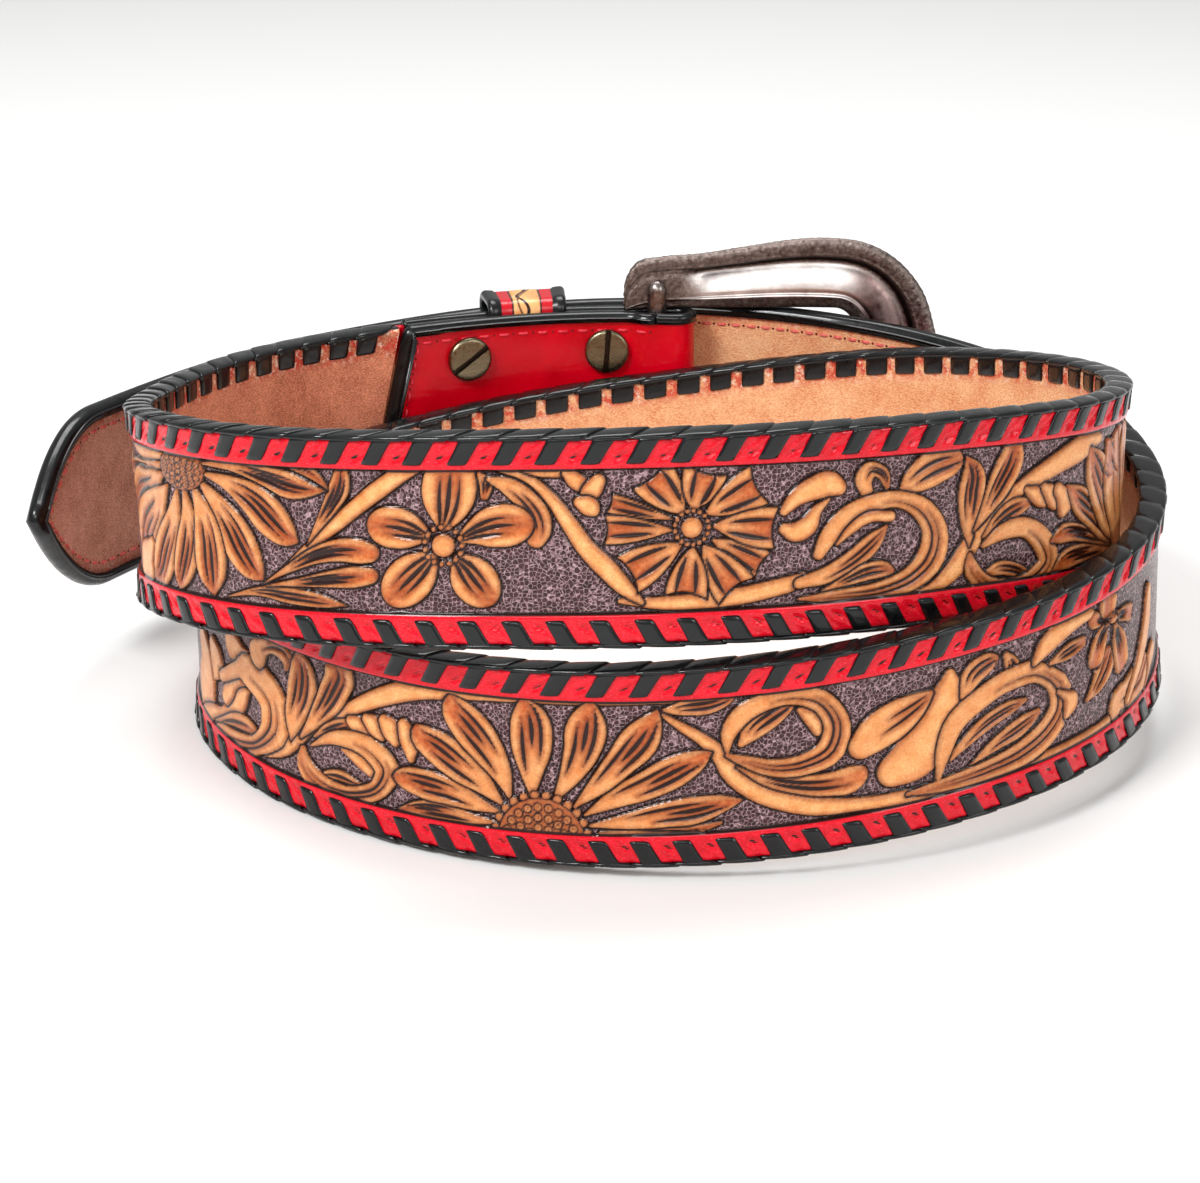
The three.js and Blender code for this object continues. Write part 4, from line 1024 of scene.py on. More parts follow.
def press_ribbon(maps, window, kind, spine, half):
    """Carves one ribbon-shaped motif into a window of the maps."""
    look = KINDS[kind]
    x, y = maps["run"][window], maps["up"][window]
    deep = np.full(x.shape, -99.0)
    along = np.zeros(x.shape)
    across = np.zeros(x.shape)
    wide = np.ones(x.shape)
    steps = np.linalg.norm(np.diff(spine, axis=0), axis=1)
    length = steps.sum()
    key = np.concatenate([[0], np.cumsum(steps)]) / length
    for i in range(len(spine) - 1):
        dx, dy = spine[i + 1] - spine[i]
        size = max(math.hypot(dx, dy), 1e-6)
        rx, ry = x - spine[i, 0], y - spine[i, 1]
        share = np.clip((rx * dx + ry * dy) / size**2, 0, 1)
        away = np.hypot(rx - share * dx, ry - share * dy)
        width = half[i] + share * (half[i + 1] - half[i])
        inside = width - away
        nearer = inside > deep
        deep = np.where(nearer, inside, deep)
        along = np.where(nearer, key[i] + share * (key[i + 1] - key[i]), along)
        across = np.where(nearer, (dx * ry - dy * rx) / size / np.maximum(width, 0.1), across)
        wide = np.where(nearer, width, wide)
    across = np.clip(across, -1, 1)
    if "blunt" in look:
        ahead = spine[-1] - spine[-2]
        ahead /= np.linalg.norm(ahead)
        past = (x - spine[-1, 0]) * ahead[0] + (y - spine[-1, 1]) * ahead[1]
        deep = np.minimum(deep, -past - look["blunt"] * half[-1] * (1 - across**2))
    level = 1 - np.abs(across)
    bowl = smooth(0.2, 0.75, level) * smooth(0.05, 0.4, along)
    body = -look["hollow"] * bowl - 0.05
    amber = look["amber"] * smooth(0.15, 0.7, level) * (0.35 + 0.65 * smooth(0.25, 0.75, along))
    if look["hollow"] < 0.06:
        amber = look["amber"] * (1 - smooth(0.15, 0.8, level))
        body = -look["hollow"] * smooth(0, 0.8, level)
    cut_line = np.full(x.shape, LINE_FAR)
    for place, start, end, thick in look["cuts"]:
        thick = min(thick, 0.13 * half.max())
        share = (along - start) / (end - start)
        taper = np.sqrt(np.clip(np.sin(np.pi * np.clip(share, 0, 1)), 0, 1))
        beyond = np.maximum(np.maximum(start - along, along - end), 0) * length
        away = np.hypot((across - place) * wide, beyond) - thick * taper
        away += 0.25 * (1 - taper)
        cut_line = np.minimum(cut_line, away)
        body -= 0.28 * (1 - smooth(-0.05, 0.3, away))
        body += 0.07 * smooth(0.15, 0.4, away) * (1 - smooth(0.4, 0.8, away))
    inside = smooth(-0.06, 0.1, deep)
    body -= 0.5 * (1 - smooth(-0.1, 0.42, deep))
    bevel = 0.34 * (1 - smooth(0, 0.75, -deep))
    height = maps["height"][window]
    maps["height"][window] = np.where(deep > 0, body, np.maximum(height - bevel, -0.85))
    line = np.where(deep > 0.05, LINE_FAR, maps["line"][window])
    line = np.minimum(line, np.abs(deep + 0.07))
    maps["line"][window] = np.where(deep > 0, np.minimum(line, cut_line + 0.12), line)
    maps["shade"][window] = maps["shade"][window] * (1 - inside) + amber * inside
    maps["motif"][window] = np.maximum(maps["motif"][window], deep)


def press_disc(maps, window, centre, radii, rise, amber, ring=0.0):
    """Carves one round boss; ring presses a small hollow into its top."""
    x, y = maps["run"][window], maps["up"][window]
    share = np.hypot((x - centre[0]) / radii[0], (y - centre[1]) / radii[1])
    radius = (radii[0] + radii[1]) / 2
    deep = (1 - share) * radius
    body = rise * np.sqrt(np.maximum(1 - share**2, 0)) - 0.1 - ring * (1 - smooth(0.2, 0.6, share))
    height = maps["height"][window]
    maps["height"][window] = np.where(deep > 0, body, height)
    line = np.where(deep > 0.04, LINE_FAR, maps["line"][window])
    line = np.minimum(line, np.abs(deep + 0.02) + 0.06)
    if ring:
        line = np.where(share < 0.34, 0.2, line)
    maps["line"][window] = line
    maps["shade"][window] = np.where(deep > 0, amber, maps["shade"][window])
    maps["motif"][window] = np.maximum(maps["motif"][window], deep)


def carve(run, up):
    """Relief in millimetres over the strap's outer face, and distances for its colours."""
    border = np.minimum(up - FIELD_LOW, FIELD_HIGH - up)
    maps = {
        "run": run,
        "up": up,
        "height": np.full(run.shape, -CARVE_DEPTH),
        "line": np.full(run.shape, LINE_FAR),
        "shade": np.zeros(run.shape),
        "motif": np.full(run.shape, -LINE_FAR),
    }
    columns = run[:, run.shape[1] // 2]
    rows = up[0]

    def window_of(low, high):
        i0, i1 = np.searchsorted(columns, (low[0] - 1.2, high[0] + 1.2))
        j0, j1 = np.searchsorted(rows, (low[1] - 1.2, high[1] + 1.2))
        return (slice(i0, i1), slice(j0, j1)) if i1 > i0 and j1 > j0 else None

    for shape in MOTIFS:
        if shape[0] == "middle":
            _, centre, radii, beads, rings = shape
            window = window_of(centre - radii * 1.9, centre + radii * 1.9)
            if window is None:
                continue
            if beads:
                reach = 1.55 if rings == 0 else 1.07
                size = radii * (0.26 if rings == 0 else 0.105)
                for k in range(beads):
                    angle = TAU * k / beads
                    place = centre + radii * reach * (math.cos(angle), math.sin(angle))
                    press_disc(maps, window, place, size, 0.25, 0.4)
            press_disc(maps, window, centre, radii, 0.3 if rings == 0 else 0.12, 0.3 if rings == 0 else 0.8)
            for ring in range(rings):
                reach = (ring + 0.5) / rings
                count = max(1, round(TAU * reach * rings / 1.05))
                for k in range(count):
                    angle = TAU * (k + 0.5 * (ring % 2)) / count
                    place = centre + radii * reach * 0.92 * (math.cos(angle), math.sin(angle))
                    press_disc(maps, window, place, radii * 0.38 / rings, 0.16, 0.35, 0.22)
        else:
            kind, spine, half = shape
            reach = half.max()
            window = window_of(spine.min(axis=0) - reach, spine.max(axis=0) + reach)
            if window is not None:
                press_ribbon(maps, window, kind, spine, half)

    field = smooth(-0.05, 0.12, border)
    edge = np.abs(border) - 0.05
    height = maps["height"] - 0.25 * (1 - smooth(0, 0.6, border))
    margin = -0.25 * (1 - smooth(0, 0.5, -border))
    for top in (True, False):
        start, pitch, _ = lace_place(top)
        deep = STRAP_WIDTH - up if top else up
        stitch = (run - start) / pitch - 0.16 * (5.2 - deep) / 1.3
        aside = (stitch - np.floor(stitch) - 0.5) * pitch
        away = np.hypot(aside * 0.8 + (deep - 3.9) * 0.5, (deep - 3.9) * 1.3)
        inside = deep < BORDER
        margin = np.where(inside, margin + 0.12 - 0.5 * np.exp(-away**2 / 0.5), margin)
        ripple = 0.1 * np.sin(aside * 2.1 + deep) * smooth(5.6, 4.8, deep)
        margin = np.where(inside, margin + ripple, margin)
        # Painted shade: a dark spot in each small hole of the red border between the lace tongues; the same
        # distance also holds the real cut along the border.
        edge = np.where(inside, np.minimum(edge, away - 0.22 + 0.12 * np.sin(run * 1.7)), edge)
    return {
        "height": height * field + margin * (1 - field),
        "motif": maps["motif"],
        "line": np.where(border > 0, np.minimum(maps["line"], edge), edge),
        "shade": maps["shade"],
        "border": border,
    }
def lace_place(top):
    """First stitch and pitch of one edge's lacing, in millimetres of run."""
    start = run_of(STRAP_START_TURN) + (0.6 if top else 9.9)
    end = run_of(END_LAP_TURN) - 1.2
    count = int((end - start) / STITCH_PITCH)
    return start, (end - start) / count, count


SKIN_INSET = 0.7


LAP_EDGE_OUT = 0.1


def outer_skin(name, low_turn, high_turn, step):
    count = max(2, round((run_of(high_turn) - run_of(low_turn)) / step))
    turn = turn_of(np.linspace(run_of(low_turn), run_of(high_turn), count + 1))
    edge_low = SKIN_INSET
    edge_high = STRAP_WIDTH - SKIN_INSET
    field_rows = round((FIELD_HIGH - FIELD_LOW) / step)
    up = np.concatenate([
        [edge_low, edge_low, edge_low + 0.5],
        np.linspace(edge_low + 1, FIELD_LOW - step, 10),
        np.linspace(FIELD_LOW, FIELD_HIGH, field_rows + 1),
        np.linspace(FIELD_HIGH + step, edge_high - 1, 10),
        [edge_high - 0.5, edge_high, edge_high],
    ])
    out = np.full(len(up), LEATHER_HALF)
    out[0] = out[-1] = -0.4
    out[1] = out[-2] = LEATHER_HALF - 0.5
    turns = slanted(turn[:, None], up[None, :])
    ups = np.broadcast_to(up, turns.shape)
    run = run_of(turns)
    maps = carve(run, ups)
    height = out[None, :] + maps["height"]
    rows = np.arange(len(turn))
    if low_turn == START_LAP_TURN:
        rows = np.append(0, rows)
    if high_turn == END_LAP_TURN:
        rows = np.append(rows, len(turn) - 1)
    height = height[rows]
    if low_turn == START_LAP_TURN:
        height[0] = LAP_EDGE_OUT
    if high_turn == END_LAP_TURN:
        height[-1] = LAP_EDGE_OUT
    points = strap(turns[rows], height, ups[rows])
    fields = {key: maps[key][rows] for key in ("motif", "line", "shade", "border")}
    fields["strap_place"] = np.stack([run, ups, np.zeros_like(run)], -1)[rows]
    obj = grid_mesh(name, points, fields)
    return obj


# Stretches of the tooled strap: finer where the photograph shows them.
FINE = 0.31
COARSE = 0.55
STRETCHES = [
    (START_LAP_TURN, 0.22, COARSE),
    (0.22, 0.5, FINE),
    (0.5, 0.78, FINE),
    (0.78, 1.22, COARSE),
    (1.22, 1.5, FINE),
    (1.5, 1.78, FINE),
    (1.78, END_LAP_TURN, COARSE),
]
for index, (start, end, step) in enumerate(STRETCHES):
    piece = outer_skin(f"carved_face_{index + 1}", start, end, step)
    finish_piece(piece, MAT_CARVED, "tooled_leather")
    if index == 0:
        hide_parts("tooled_body")


def inner_skin():
    turn = turn_of(np.arange(run_of(STRAP_START_TURN), run_of(TOOLED_END_TURN), 1.5))
    turn = np.append(turn, TOOLED_END_TURN)
    low = SKIN_INSET
    high = STRAP_WIDTH - SKIN_INSET
    up = np.concatenate([[low, low], np.linspace(low + 0.5, high - 0.5, 32), [high, high]])
    out = np.full(len(up), -LEATHER_HALF)
    out[0] = out[-1] = 0.4
    out[1] = out[-2] = -LEATHER_HALF + 0.5
    turns = slanted(turn[:, None], up[None, :])
    points = strap(turns, out[None, :], np.broadcast_to(up, turns.shape))
    tone = smooth(0.35, 0.75, turns)
    rub = np.broadcast_to(1 - smooth(4.6, 6.8, np.minimum(up, STRAP_WIDTH - up)), turns.shape)
    return grid_mesh("suede_inner_face", points, {"tone": tone, "rub": rub}, flip=True)


finish_piece(inner_skin(), MAT_SUEDE, "tooled_leather")


# Lacing: rows of out from the strap's middle, depth from its edge, share of a stitch ahead, half width.
OUTER_TONGUE = np.array([
    (1.3, 5.3, 0.0, 1.5),
    (2.0, 5.25, 0.0, 1.62),
    (2.26, 5.0, 0.015, 1.66),
    (2.3, 4.2, 0.07, 1.68),
    (2.34, 3.2, 0.145, 1.7),
    (2.38, 2.2, 0.22, 1.74),
    (2.45, 1.3, 0.285, 1.8),
    (2.4, 0.75, 0.325, 1.9),
    (1.9, 0.4, 0.37, 1.9),
])
CREST = np.array([
    (1.9, 1.15, 0.3, 3.75),
    (2.45, 0.95, 0.325, 3.8),
    (2.6, 0.62, 0.36, 3.9),
    (2.3, 0.25, 0.42, 3.95),
    (1.4, 0.02, 0.5, 4.0),
    (0.3, -0.05, 0.6, 4.0),
    (-0.9, -0.02, 0.71, 4.0),
    (-1.9, 0.15, 0.8, 3.95),
    (-2.5, 0.45, 0.88, 3.9),
    (-2.7, 0.9, 0.93, 3.85),
    (-2.5, 1.3, 0.97, 3.8),
    (-2.0, 1.5, 1.0, 3.7),
])
INNER_TONGUE = np.array([
    (-1.9, 0.5, 0.97, 2.4),
    (-2.45, 0.9, 0.98, 2.5),
    (-2.5, 2.0, 1.0, 2.55),
    (-2.42, 3.4, 1.0, 2.55),
    (-2.35, 4.5, 1.0, 2.5),
    (-2.2, 5.0, 1.0, 2.45),
    (-1.4, 5.15, 1.0, 2.3),
])


def spread_rows(table, count):
    """Rows evenly spread along a table's path, rounded by a Catmull-Rom curve."""
    steps = np.hypot(np.diff(table[:, 0]), np.diff(table[:, 1]))
    key = np.concatenate([[0], np.cumsum(steps)])
    at = np.linspace(0, key[-1], count)
    slopes = np.gradient(table, key, axis=0)
    i = np.clip(np.searchsorted(key, at, side="right") - 1, 0, len(key) - 2)
    width = (key[i + 1] - key[i])[:, None]
    f = (at - key[i])[:, None] / width
    f2 = f * f
    f3 = f2 * f
    return (
        (2 * f3 - 3 * f2 + 1) * table[i] + (f3 - 2 * f2 + f) * slopes[i] * width
        + (3 * f2 - 2 * f3) * table[i + 1] + (f3 - f2) * slopes[i + 1] * width
    )


def lace_part(rows, start, pitch, shift, wide, tilt, top, thick):
    """Points of one closed strip of lace along rows of the lacing's path."""
    out, deep, ahead, half = rows.T
    slope_out = np.gradient(out)
    slope_deep = np.gradient(deep)
    size = np.hypot(slope_out, slope_deep)
    turned = np.sign(-slope_deep[0] * out[0]) or 1
    normal_out = -slope_deep / size * turned
    normal_deep = slope_out / size * turned
    across = np.array([-1, -0.9, -0.45, 0, 0.45, 0.9, 1, 0.9, -0.9])
    lift = np.array([-0.3, -0.06, 0.0, 0.02, 0.0, -0.06, -0.3, -thick, -thick])
    run = start + ahead[:, None] * pitch + half[:, None] * wide * across[None, :] + shift
    rise = lift[None, :] + tilt * across[None, :]
    o = out[:, None] + normal_out[:, None] * rise
    d = deep[:, None] + normal_deep[:, None] * rise
    up = STRAP_WIDTH - d if top else d
    low, high = run_of(STRAP_START_TURN), run_of(END_LAP_TURN)
    turn = slanted(turn_of(np.clip(run, low, high)), up)
    points = strap(turn, o, np.maximum(up, 0))
    faces = grid_faces(*points.shape[:2], around=True)
    return points, faces if top else faces[:, ::-1], {}


def lace_wraps(name, top):
    start, pitch, count = lace_place(top)
    crest = spread_rows(CREST, 18)
    parts = []
    for i in range(count):
        at = start + i * pitch
        shift = rng.normal(0, 0.1)
        wide = 1 + rng.normal(0, 0.03)
        parts.append(lace_part(OUTER_TONGUE, at, pitch, shift, wide, rng.normal(0, 0.03), top, 0.75))
        parts.append(lace_part(crest, at, pitch, shift, 1, 0.13 + rng.normal(0, 0.03), top, 0.6))
        parts.append(lace_part(INNER_TONGUE, at, pitch, shift, wide, rng.normal(0, 0.04), top, 0.7))
    return joined(name, parts)


def under_roll(name, top):
    """Black lace beneath the wraps, which closes the crest between them."""
    angle = np.linspace(-0.12 * math.pi, 1.12 * math.pi, 12)
    out = 1.75 * np.cos(angle)
    deep = 1.5 - 1.1 * np.sin(angle)
    out = np.concatenate([out, [-1.2, 1.2]])
    deep = np.concatenate([deep, [2.2, 2.2]])
    turn = turn_of(np.arange(run_of(STRAP_START_TURN), run_of(END_LAP_TURN), 1.5))
    up = STRAP_WIDTH - deep if top else deep
    turns = slanted(turn[:, None], up[None, :])
    points = strap(turns, out[None, :], np.broadcast_to(up, turns.shape))
    return grid_mesh(name, points, around=True, cap=True, flip=not top)


for top, node in ((True, "lace_top"), (False, "lace_bottom")):
    word = "upper" if top else "lower"
    finish_piece(lace_wraps(f"{word}_lace_wraps", top), MAT_BLACK, "black_lace", node)
    finish_piece(under_roll(f"{word}_lace_core", top), MAT_BLACK, "black_lace")


# Buckle billet: one strip of leather from the outer leg round the bar to the turned-back end.
LEG_STRAIGHT = PANEL_LENGTH - LAP_LENGTH


def leg_offset(behind, side):
    closed = OUTER_LEG if side > 0 else INNER_LEG
    shut = smooth(BAR_RADIUS, LEG_CLOSED, behind)
    return side * FOLD_RADIUS + (closed - side * FOLD_RADIUS) * shut


def panel_end(up):
    """Distance behind the bar where the turned-back end stops, at a height."""
    end = PANEL_LENGTH + PANEL_SLANT * (1 - np.asarray(up, float) / STRAP_WIDTH)
    edge = np.clip(PANEL_CORNER - np.minimum(up, STRAP_WIDTH - up), 0, PANEL_CORNER)
    return end - PANEL_CORNER + np.sqrt(np.maximum(PANEL_CORNER**2 - edge**2, 0))


def billet_path(station, up):
    """Behind and out of the billet's middle surface; station runs down the outer leg, round and back."""
    outer_length = LEG_STRAIGHT + LAP_LENGTH
    bend_length = math.pi * FOLD_RADIUS + 2 * FOLD_SLACK
    inner_length = panel_end(up) - 0.9
    on_outer = station < outer_length
    on_inner = station > outer_length + bend_length
    behind = np.where(on_outer, outer_length - station, 0)
    out = leg_offset(behind, 1)
    back_station = station - outer_length - bend_length
    inner_behind = back_station / (PANEL_LENGTH + PANEL_SLANT) * inner_length
    behind = np.where(on_inner, inner_behind, behind)
    out = np.where(on_inner, leg_offset(np.maximum(inner_behind, 0), -1), out)
    mid = ~(on_outer | on_inner)
    bend = station - outer_length
    angle = np.clip((bend - FOLD_SLACK) / FOLD_RADIUS, 0, math.pi)
    flat = np.where(bend < FOLD_SLACK, bend, np.minimum(bend_length - bend, FOLD_SLACK))
    flat = np.clip(flat, 0, FOLD_SLACK)
    behind = np.where(mid, -flat - FOLD_RADIUS * np.sin(angle), behind)
    out = np.where(mid, FOLD_RADIUS * np.cos(angle), out)
    return behind, out


def sheet_with_holes(name, points, keep, thick, fields=None):
    """Grid of points with some quads left out, thickened on both sides."""
    rows, columns = points.shape[:2]
    faces = grid_faces(rows, columns).reshape(rows - 1, columns - 1, 4)[keep]
    obj = make_mesh(name, points, faces, fields)
    solid = obj.modifiers.new("thick", "SOLIDIFY")
    solid.thickness = thick * MM
    solid.offset = 0
    solid.use_even_offset = True
    bevel = obj.modifiers.new("edge", "BEVEL")
    bevel.width = 0.3 * MM
    bevel.segments = 2
    bevel.limit_method = "ANGLE"
    bevel.angle_limit = math.radians(50)
    return modified(obj)


def buckle_billet():
    outer_length = LEG_STRAIGHT + LAP_LENGTH
    bend_length = math.pi * FOLD_RADIUS + 2 * FOLD_SLACK
    total = outer_length + bend_length + PANEL_LENGTH + PANEL_SLANT
    station = np.linspace(0, total, 150)
    low = LEATHER_INSET
    high = STRAP_WIDTH - LEATHER_INSET
    up = np.linspace(low, high, 41)
    stations, ups = np.meshgrid(station, up, indexing="ij")
    behind, out = billet_path(stations, ups)
    points = near_bar(behind, out, ups)
    centre = station[:-1] + np.diff(station) / 2
    middle_up = up[:-1] + np.diff(up) / 2
    reach = (centre > outer_length - 9) & (centre < outer_length + bend_length + 9)
    slot = reach[:, None] & (np.abs(middle_up - MIDDLE) < 3.75)[None, :]
    return sheet_with_holes("red_buckle_billet", points, ~slot, BILLET_THICK)


finish_piece(buckle_billet(), MAT_RED, "red_leather", "buckle_billet")


# Black bindings: a rounded fold over an edge, along an outline of points with inward directions.
def binding(name, outline, half, wall, reach, to_space):
    x, y, inward_x, inward_y, broad = np.asarray([(*row, 1)[:5] for row in outline], float).T
    angle = np.linspace(0, math.pi, 9)
    round_deep = half * 0.95
    outer = [(half, reach), (half, reach * 0.6)]
    outer += [(half * math.cos(a), round_deep * (1 - math.sin(a))) for a in angle]
    outer += [(-half, reach * 0.6), (-half, reach)]
    inside = half - wall
    inner = [(-inside, reach), (-inside, wall + 0.3), (inside, wall + 0.3), (inside, reach)]
    section = np.array(outer + inner)
    out = section[:, 0][None, :]
    deep = section[:, 1][None, :]
    deep = deep * broad[:, None]
    points = to_space(x[:, None] + inward_x[:, None] * deep, out, y[:, None] + inward_y[:, None] * deep)
    obj = grid_mesh(name, points, around=True, cap=True)
    face_out(obj)
    return obj


def panel_edge():
    """Outline of the turned-back end: along the top edge, round the end and along the bottom."""
    corner = PANEL_CORNER
    rows = []
    top_end = PANEL_LENGTH - corner
    low_end = PANEL_LENGTH + PANEL_SLANT - corner
    tilt = math.atan2(PANEL_SLANT, STRAP_WIDTH)
    for behind in np.linspace(0, top_end, 40):
        rows.append((behind, STRAP_WIDTH, 0, -1, 1 - 0.1 * (behind < 50)))
    for cx, cy, start, end in (
        (top_end, STRAP_WIDTH - corner, math.pi / 2, tilt),
        (low_end, corner, tilt, -math.pi / 2),
    ):
        for angle in np.linspace(start, end, 9)[1:]:
            cosine = math.cos(angle)
            sine = math.sin(angle)
            rows.append((cx + corner * cosine, cy + corner * sine, -cosine, -sine,
                         1 + 0.45 * max(cosine, 0)))
    for behind in np.linspace(low_end, 0, 46)[1:]:
        rows.append((behind, 0, 0, 1))
    return rows


def on_leg(side):
    return lambda behind, out, up: near_bar(behind, leg_offset(behind, side) + out, up)


finish_piece(
    binding("panel_black_binding", panel_edge(), BINDING_HALF, BINDING_THICK,
            BINDING_REACH - 1.2, on_leg(-1)),
    MAT_BLACK, "black_binding", "panel_binding",
)


def fold_edge(up):
    """Black binding that goes round the fold and along the outer leg."""
    outer_length = LEG_STRAIGHT + LAP_LENGTH
    bend_length = math.pi * FOLD_RADIUS + 2 * FOLD_SLACK
    station = np.linspace(2, outer_length + bend_length, 90)
    behind, out = billet_path(station, np.full_like(station, up))
    step_b = np.gradient(behind)
    step_o = np.gradient(out)
    size = np.hypot(step_b, step_o)
    across_b = -step_o / size
    across_o = step_b / size
    turned = np.sign(across_o[5])
    across_b = across_b * turned
    across_o = across_o * turned
    inward = -1 if up > MIDDLE else 1
    wall = 1.25
    angle = np.linspace(0, math.pi, 9)
    rounded = [(wall * math.cos(a), 1.1 * (1 - math.sin(a))) for a in angle]
    section = [(wall, 2.2)] + rounded + [(-wall, 2.2)]
    side = np.array([s[0] for s in section])
    deep = np.array([s[1] for s in section])
    points = near_bar(
        behind[:, None] + across_b[:, None] * side[None, :],
        out[:, None] + across_o[:, None] * side[None, :],
        up + inward * deep[None, :],
    )
    word = "top" if up > MIDDLE else "low"
    obj = grid_mesh(f"fold_{word}_binding", points, around=True, cap=True)
    face_out(obj)
    return obj


for up in (STRAP_WIDTH, 0):
    finish_piece(fold_edge(up), MAT_BLACK, "black_binding")


# Tip billet and its binding.
TIP_INSET = TIP_BINDING_THICK + BINDING_GAP
APEX_SLOPE = math.pi / 2 * MIDDLE / TIP_POINT
APEX_REACH = math.hypot(1, APEX_SLOPE) / APEX_SLOPE


def point_share(share):
    return np.sin(math.pi / 2 * np.clip(share, 0, 1) ** POINT_FULLNESS)


TIP_PACE = pace(TIP_TURN)
POINT_START_TURN = TIP_TURN - TIP_POINT / TIP_PACE


TIP_SHEET = TIP_HALF - 0.03
NECK_LENGTH = 3.8


def tip_sheet(name, side):
    """One of the tip strap's two leathers; the inner one runs on under the tooled strap."""
    end_inset = (TIP_INSET + FIT_GAP) * APEX_REACH
    start = run_of(TOOLED_END_TURN if side < 0 else END_LAP_TURN) + FIT_GAP
    turn = np.concatenate([
        turn_of(np.arange(start, run_of(POINT_START_TURN), 1.8)),
        TIP_TURN - (end_inset + (TIP_POINT - end_inset) * np.linspace(1, 0.004, 50) ** 1.3) / TIP_PACE,
    ])
    share = ((TIP_TURN - turn) * TIP_PACE - end_inset) / (TIP_POINT - end_inset)
    half = np.where(turn > POINT_START_TURN, point_share(share), 1) * (MIDDLE - TIP_INSET)
    across = np.linspace(-1, 1, 27)
    ups = MIDDLE + half[:, None] * across[None, :]
    turns = np.broadcast_to(turn[:, None], ups.shape)
    neck = smooth(END_LAP_TURN, go(END_LAP_TURN, NECK_LENGTH), turns)
    face = TIP_HALF if side > 0 else LEATHER_HALF + (TIP_HALF - LEATHER_HALF) * neck
    points = strap(turns, side * (face - TIP_SHEET / 2) * np.ones_like(ups), ups)
    keep = np.ones((len(turn) - 1, len(across) - 1), bool)
    tone = smooth(2.08, 2.2, turns)
    rub = 1 - smooth(1.6, 3.8, half[:, None] * (1 - np.abs(across)[None, :]))
    obj = sheet_with_holes(name, points, keep, TIP_SHEET, {"tone": tone, "rub": rub})
    hole_turn = 2 + BAR_TURN - PRONG_HOLE_AHEAD / pace(BAR_TURN)
    for i in range(-2, 3):
        where = Frame(go(hole_turn, i * HOLE_PITCH), 0, MIDDLE)
        angle = TAU * np.arange(HOLE_SIDES) / HOLE_SIDES
        along = HOLE_DIAMETER / 2 * np.cos(angle)
        upward = HOLE_DIAMETER / 2 * np.sin(angle)
        ring = [
            where.at(np.stack([along, np.full(HOLE_SIDES, y), upward], -1))
            for y in (-5, 5)
        ]
        tool = grid_mesh("hole_tool", np.array(ring), around=True, cap=True)
        face_out(tool)
        cut = obj.modifiers.new("hole", "BOOLEAN")
        cut.object = tool
        cut.operation = "DIFFERENCE"
        cut.solver = "EXACT"
        modified(obj)
        bpy.data.objects.remove(tool)
    return obj


def tip_edge():
    turn = turn_of(np.arange(run_of(go(END_LAP_TURN, 4.3)), run_of(POINT_START_TURN), 1.5))
    rows = [(value, STRAP_WIDTH, 0, -1) for value in turn]

    def curve(share):
        return TIP_TURN - TIP_POINT * share / TIP_PACE, MIDDLE * point_share(share)

    for share in np.linspace(1, 0, 45)[:-1]:
        if TIP_POINT * share < TIP_BINDING_REACH * APEX_REACH:
            break
        x, y = curve(share)
        next_x, next_y = curve(share * 0.99)
        run = (next_x - x) * TIP_PACE
        rise = next_y - y
        size = math.hypot(run, rise)
        rows.append((x, MIDDLE + y, rise / size / TIP_PACE, -run / size))
    low = [(x, STRAP_WIDTH - y, inward_x, -inward_y) for x, y, inward_x, inward_y in rows]
    apex = [(TIP_TURN, MIDDLE, -APEX_REACH / TIP_PACE, 0)]
    return rows + apex + low[::-1]


finish_piece(tip_sheet("tip_inner_leather", -1), MAT_SUEDE_TIP, "tip_leather", "tip_billet")
finish_piece(tip_sheet("tip_outer_leather", 1), MAT_RED, "tip_leather")
finish_piece(
    binding("tip_black_binding", tip_edge(), TIP_BINDING_HALF, TIP_BINDING_THICK, TIP_BINDING_REACH, strap),
    MAT_BLACK, "black_binding", "tip_binding",
)


# Stitches: short raised dashes of thread, with a dark disc of painted shade at each hole between them.
STITCH_SIDES = 6
STITCH_HOLE_SIDES = 9


def stitch_row(name, places, ahead, outward, length=2.5, radius=0.34):
    """places, ahead and outward are points and unit directions in the row frame, in metres."""
    share = np.array([0, 0.03, 0.12, 0.3, 0.5, 0.7, 0.88, 0.97, 1])
    size = np.array([0.05, 0.5, 0.85, 1, 1, 1, 0.85, 0.5, 0.05]) * radius * MM
    arch = np.array([-0.3, -0.22, 0.0, 0.12, 0.16, 0.12, 0.0, -0.22, -0.3]) * MM
    angle = TAU * np.arange(STITCH_SIDES) / STITCH_SIDES
    parts = []
    for place, along, out in zip(places, ahead, outward):
        side = np.cross(along, out)
        centre = place + along * ((share - 0.5) * length * MM)[:, None] + out * arch[:, None]
        ring = side * np.cos(angle)[:, None] + out * np.sin(angle)[:, None]
        points = centre[:, None] + ring[None] * size[:, None, None]
        parts.append((points, grid_faces(len(share), STITCH_SIDES, around=True), {}))
    obj = joined(name, parts)
    face_out(obj)
    return obj


# Small dark discs at the stitch holes: painted shade of the holes' recesses.
def stitch_holes(name, places, outward, radius=0.3):
    angle = TAU * np.arange(STITCH_HOLE_SIDES) / STITCH_HOLE_SIDES
    parts = []
    for place, out in zip(places, outward):
        side = np.cross(out, (0.0, 0.0, 1.0))
        side /= np.linalg.norm(side)
        ring = side * np.cos(angle)[:, None] + np.array((0, 0, 1.0)) * np.sin(angle)[:, None]
        sizes = np.array([0.02, 0.7, 1.0, 0.6]) * radius * MM
        lifts = np.array([0.05, 0.045, 0.0, -0.1]) * MM
        points = place + out * lifts[:, None, None] + ring[None] * sizes[:, None, None]
        parts.append((points, grid_faces(len(sizes), STITCH_HOLE_SIDES, around=True), {}))
    obj = joined(name, parts)
    face_out(obj)
    return obj


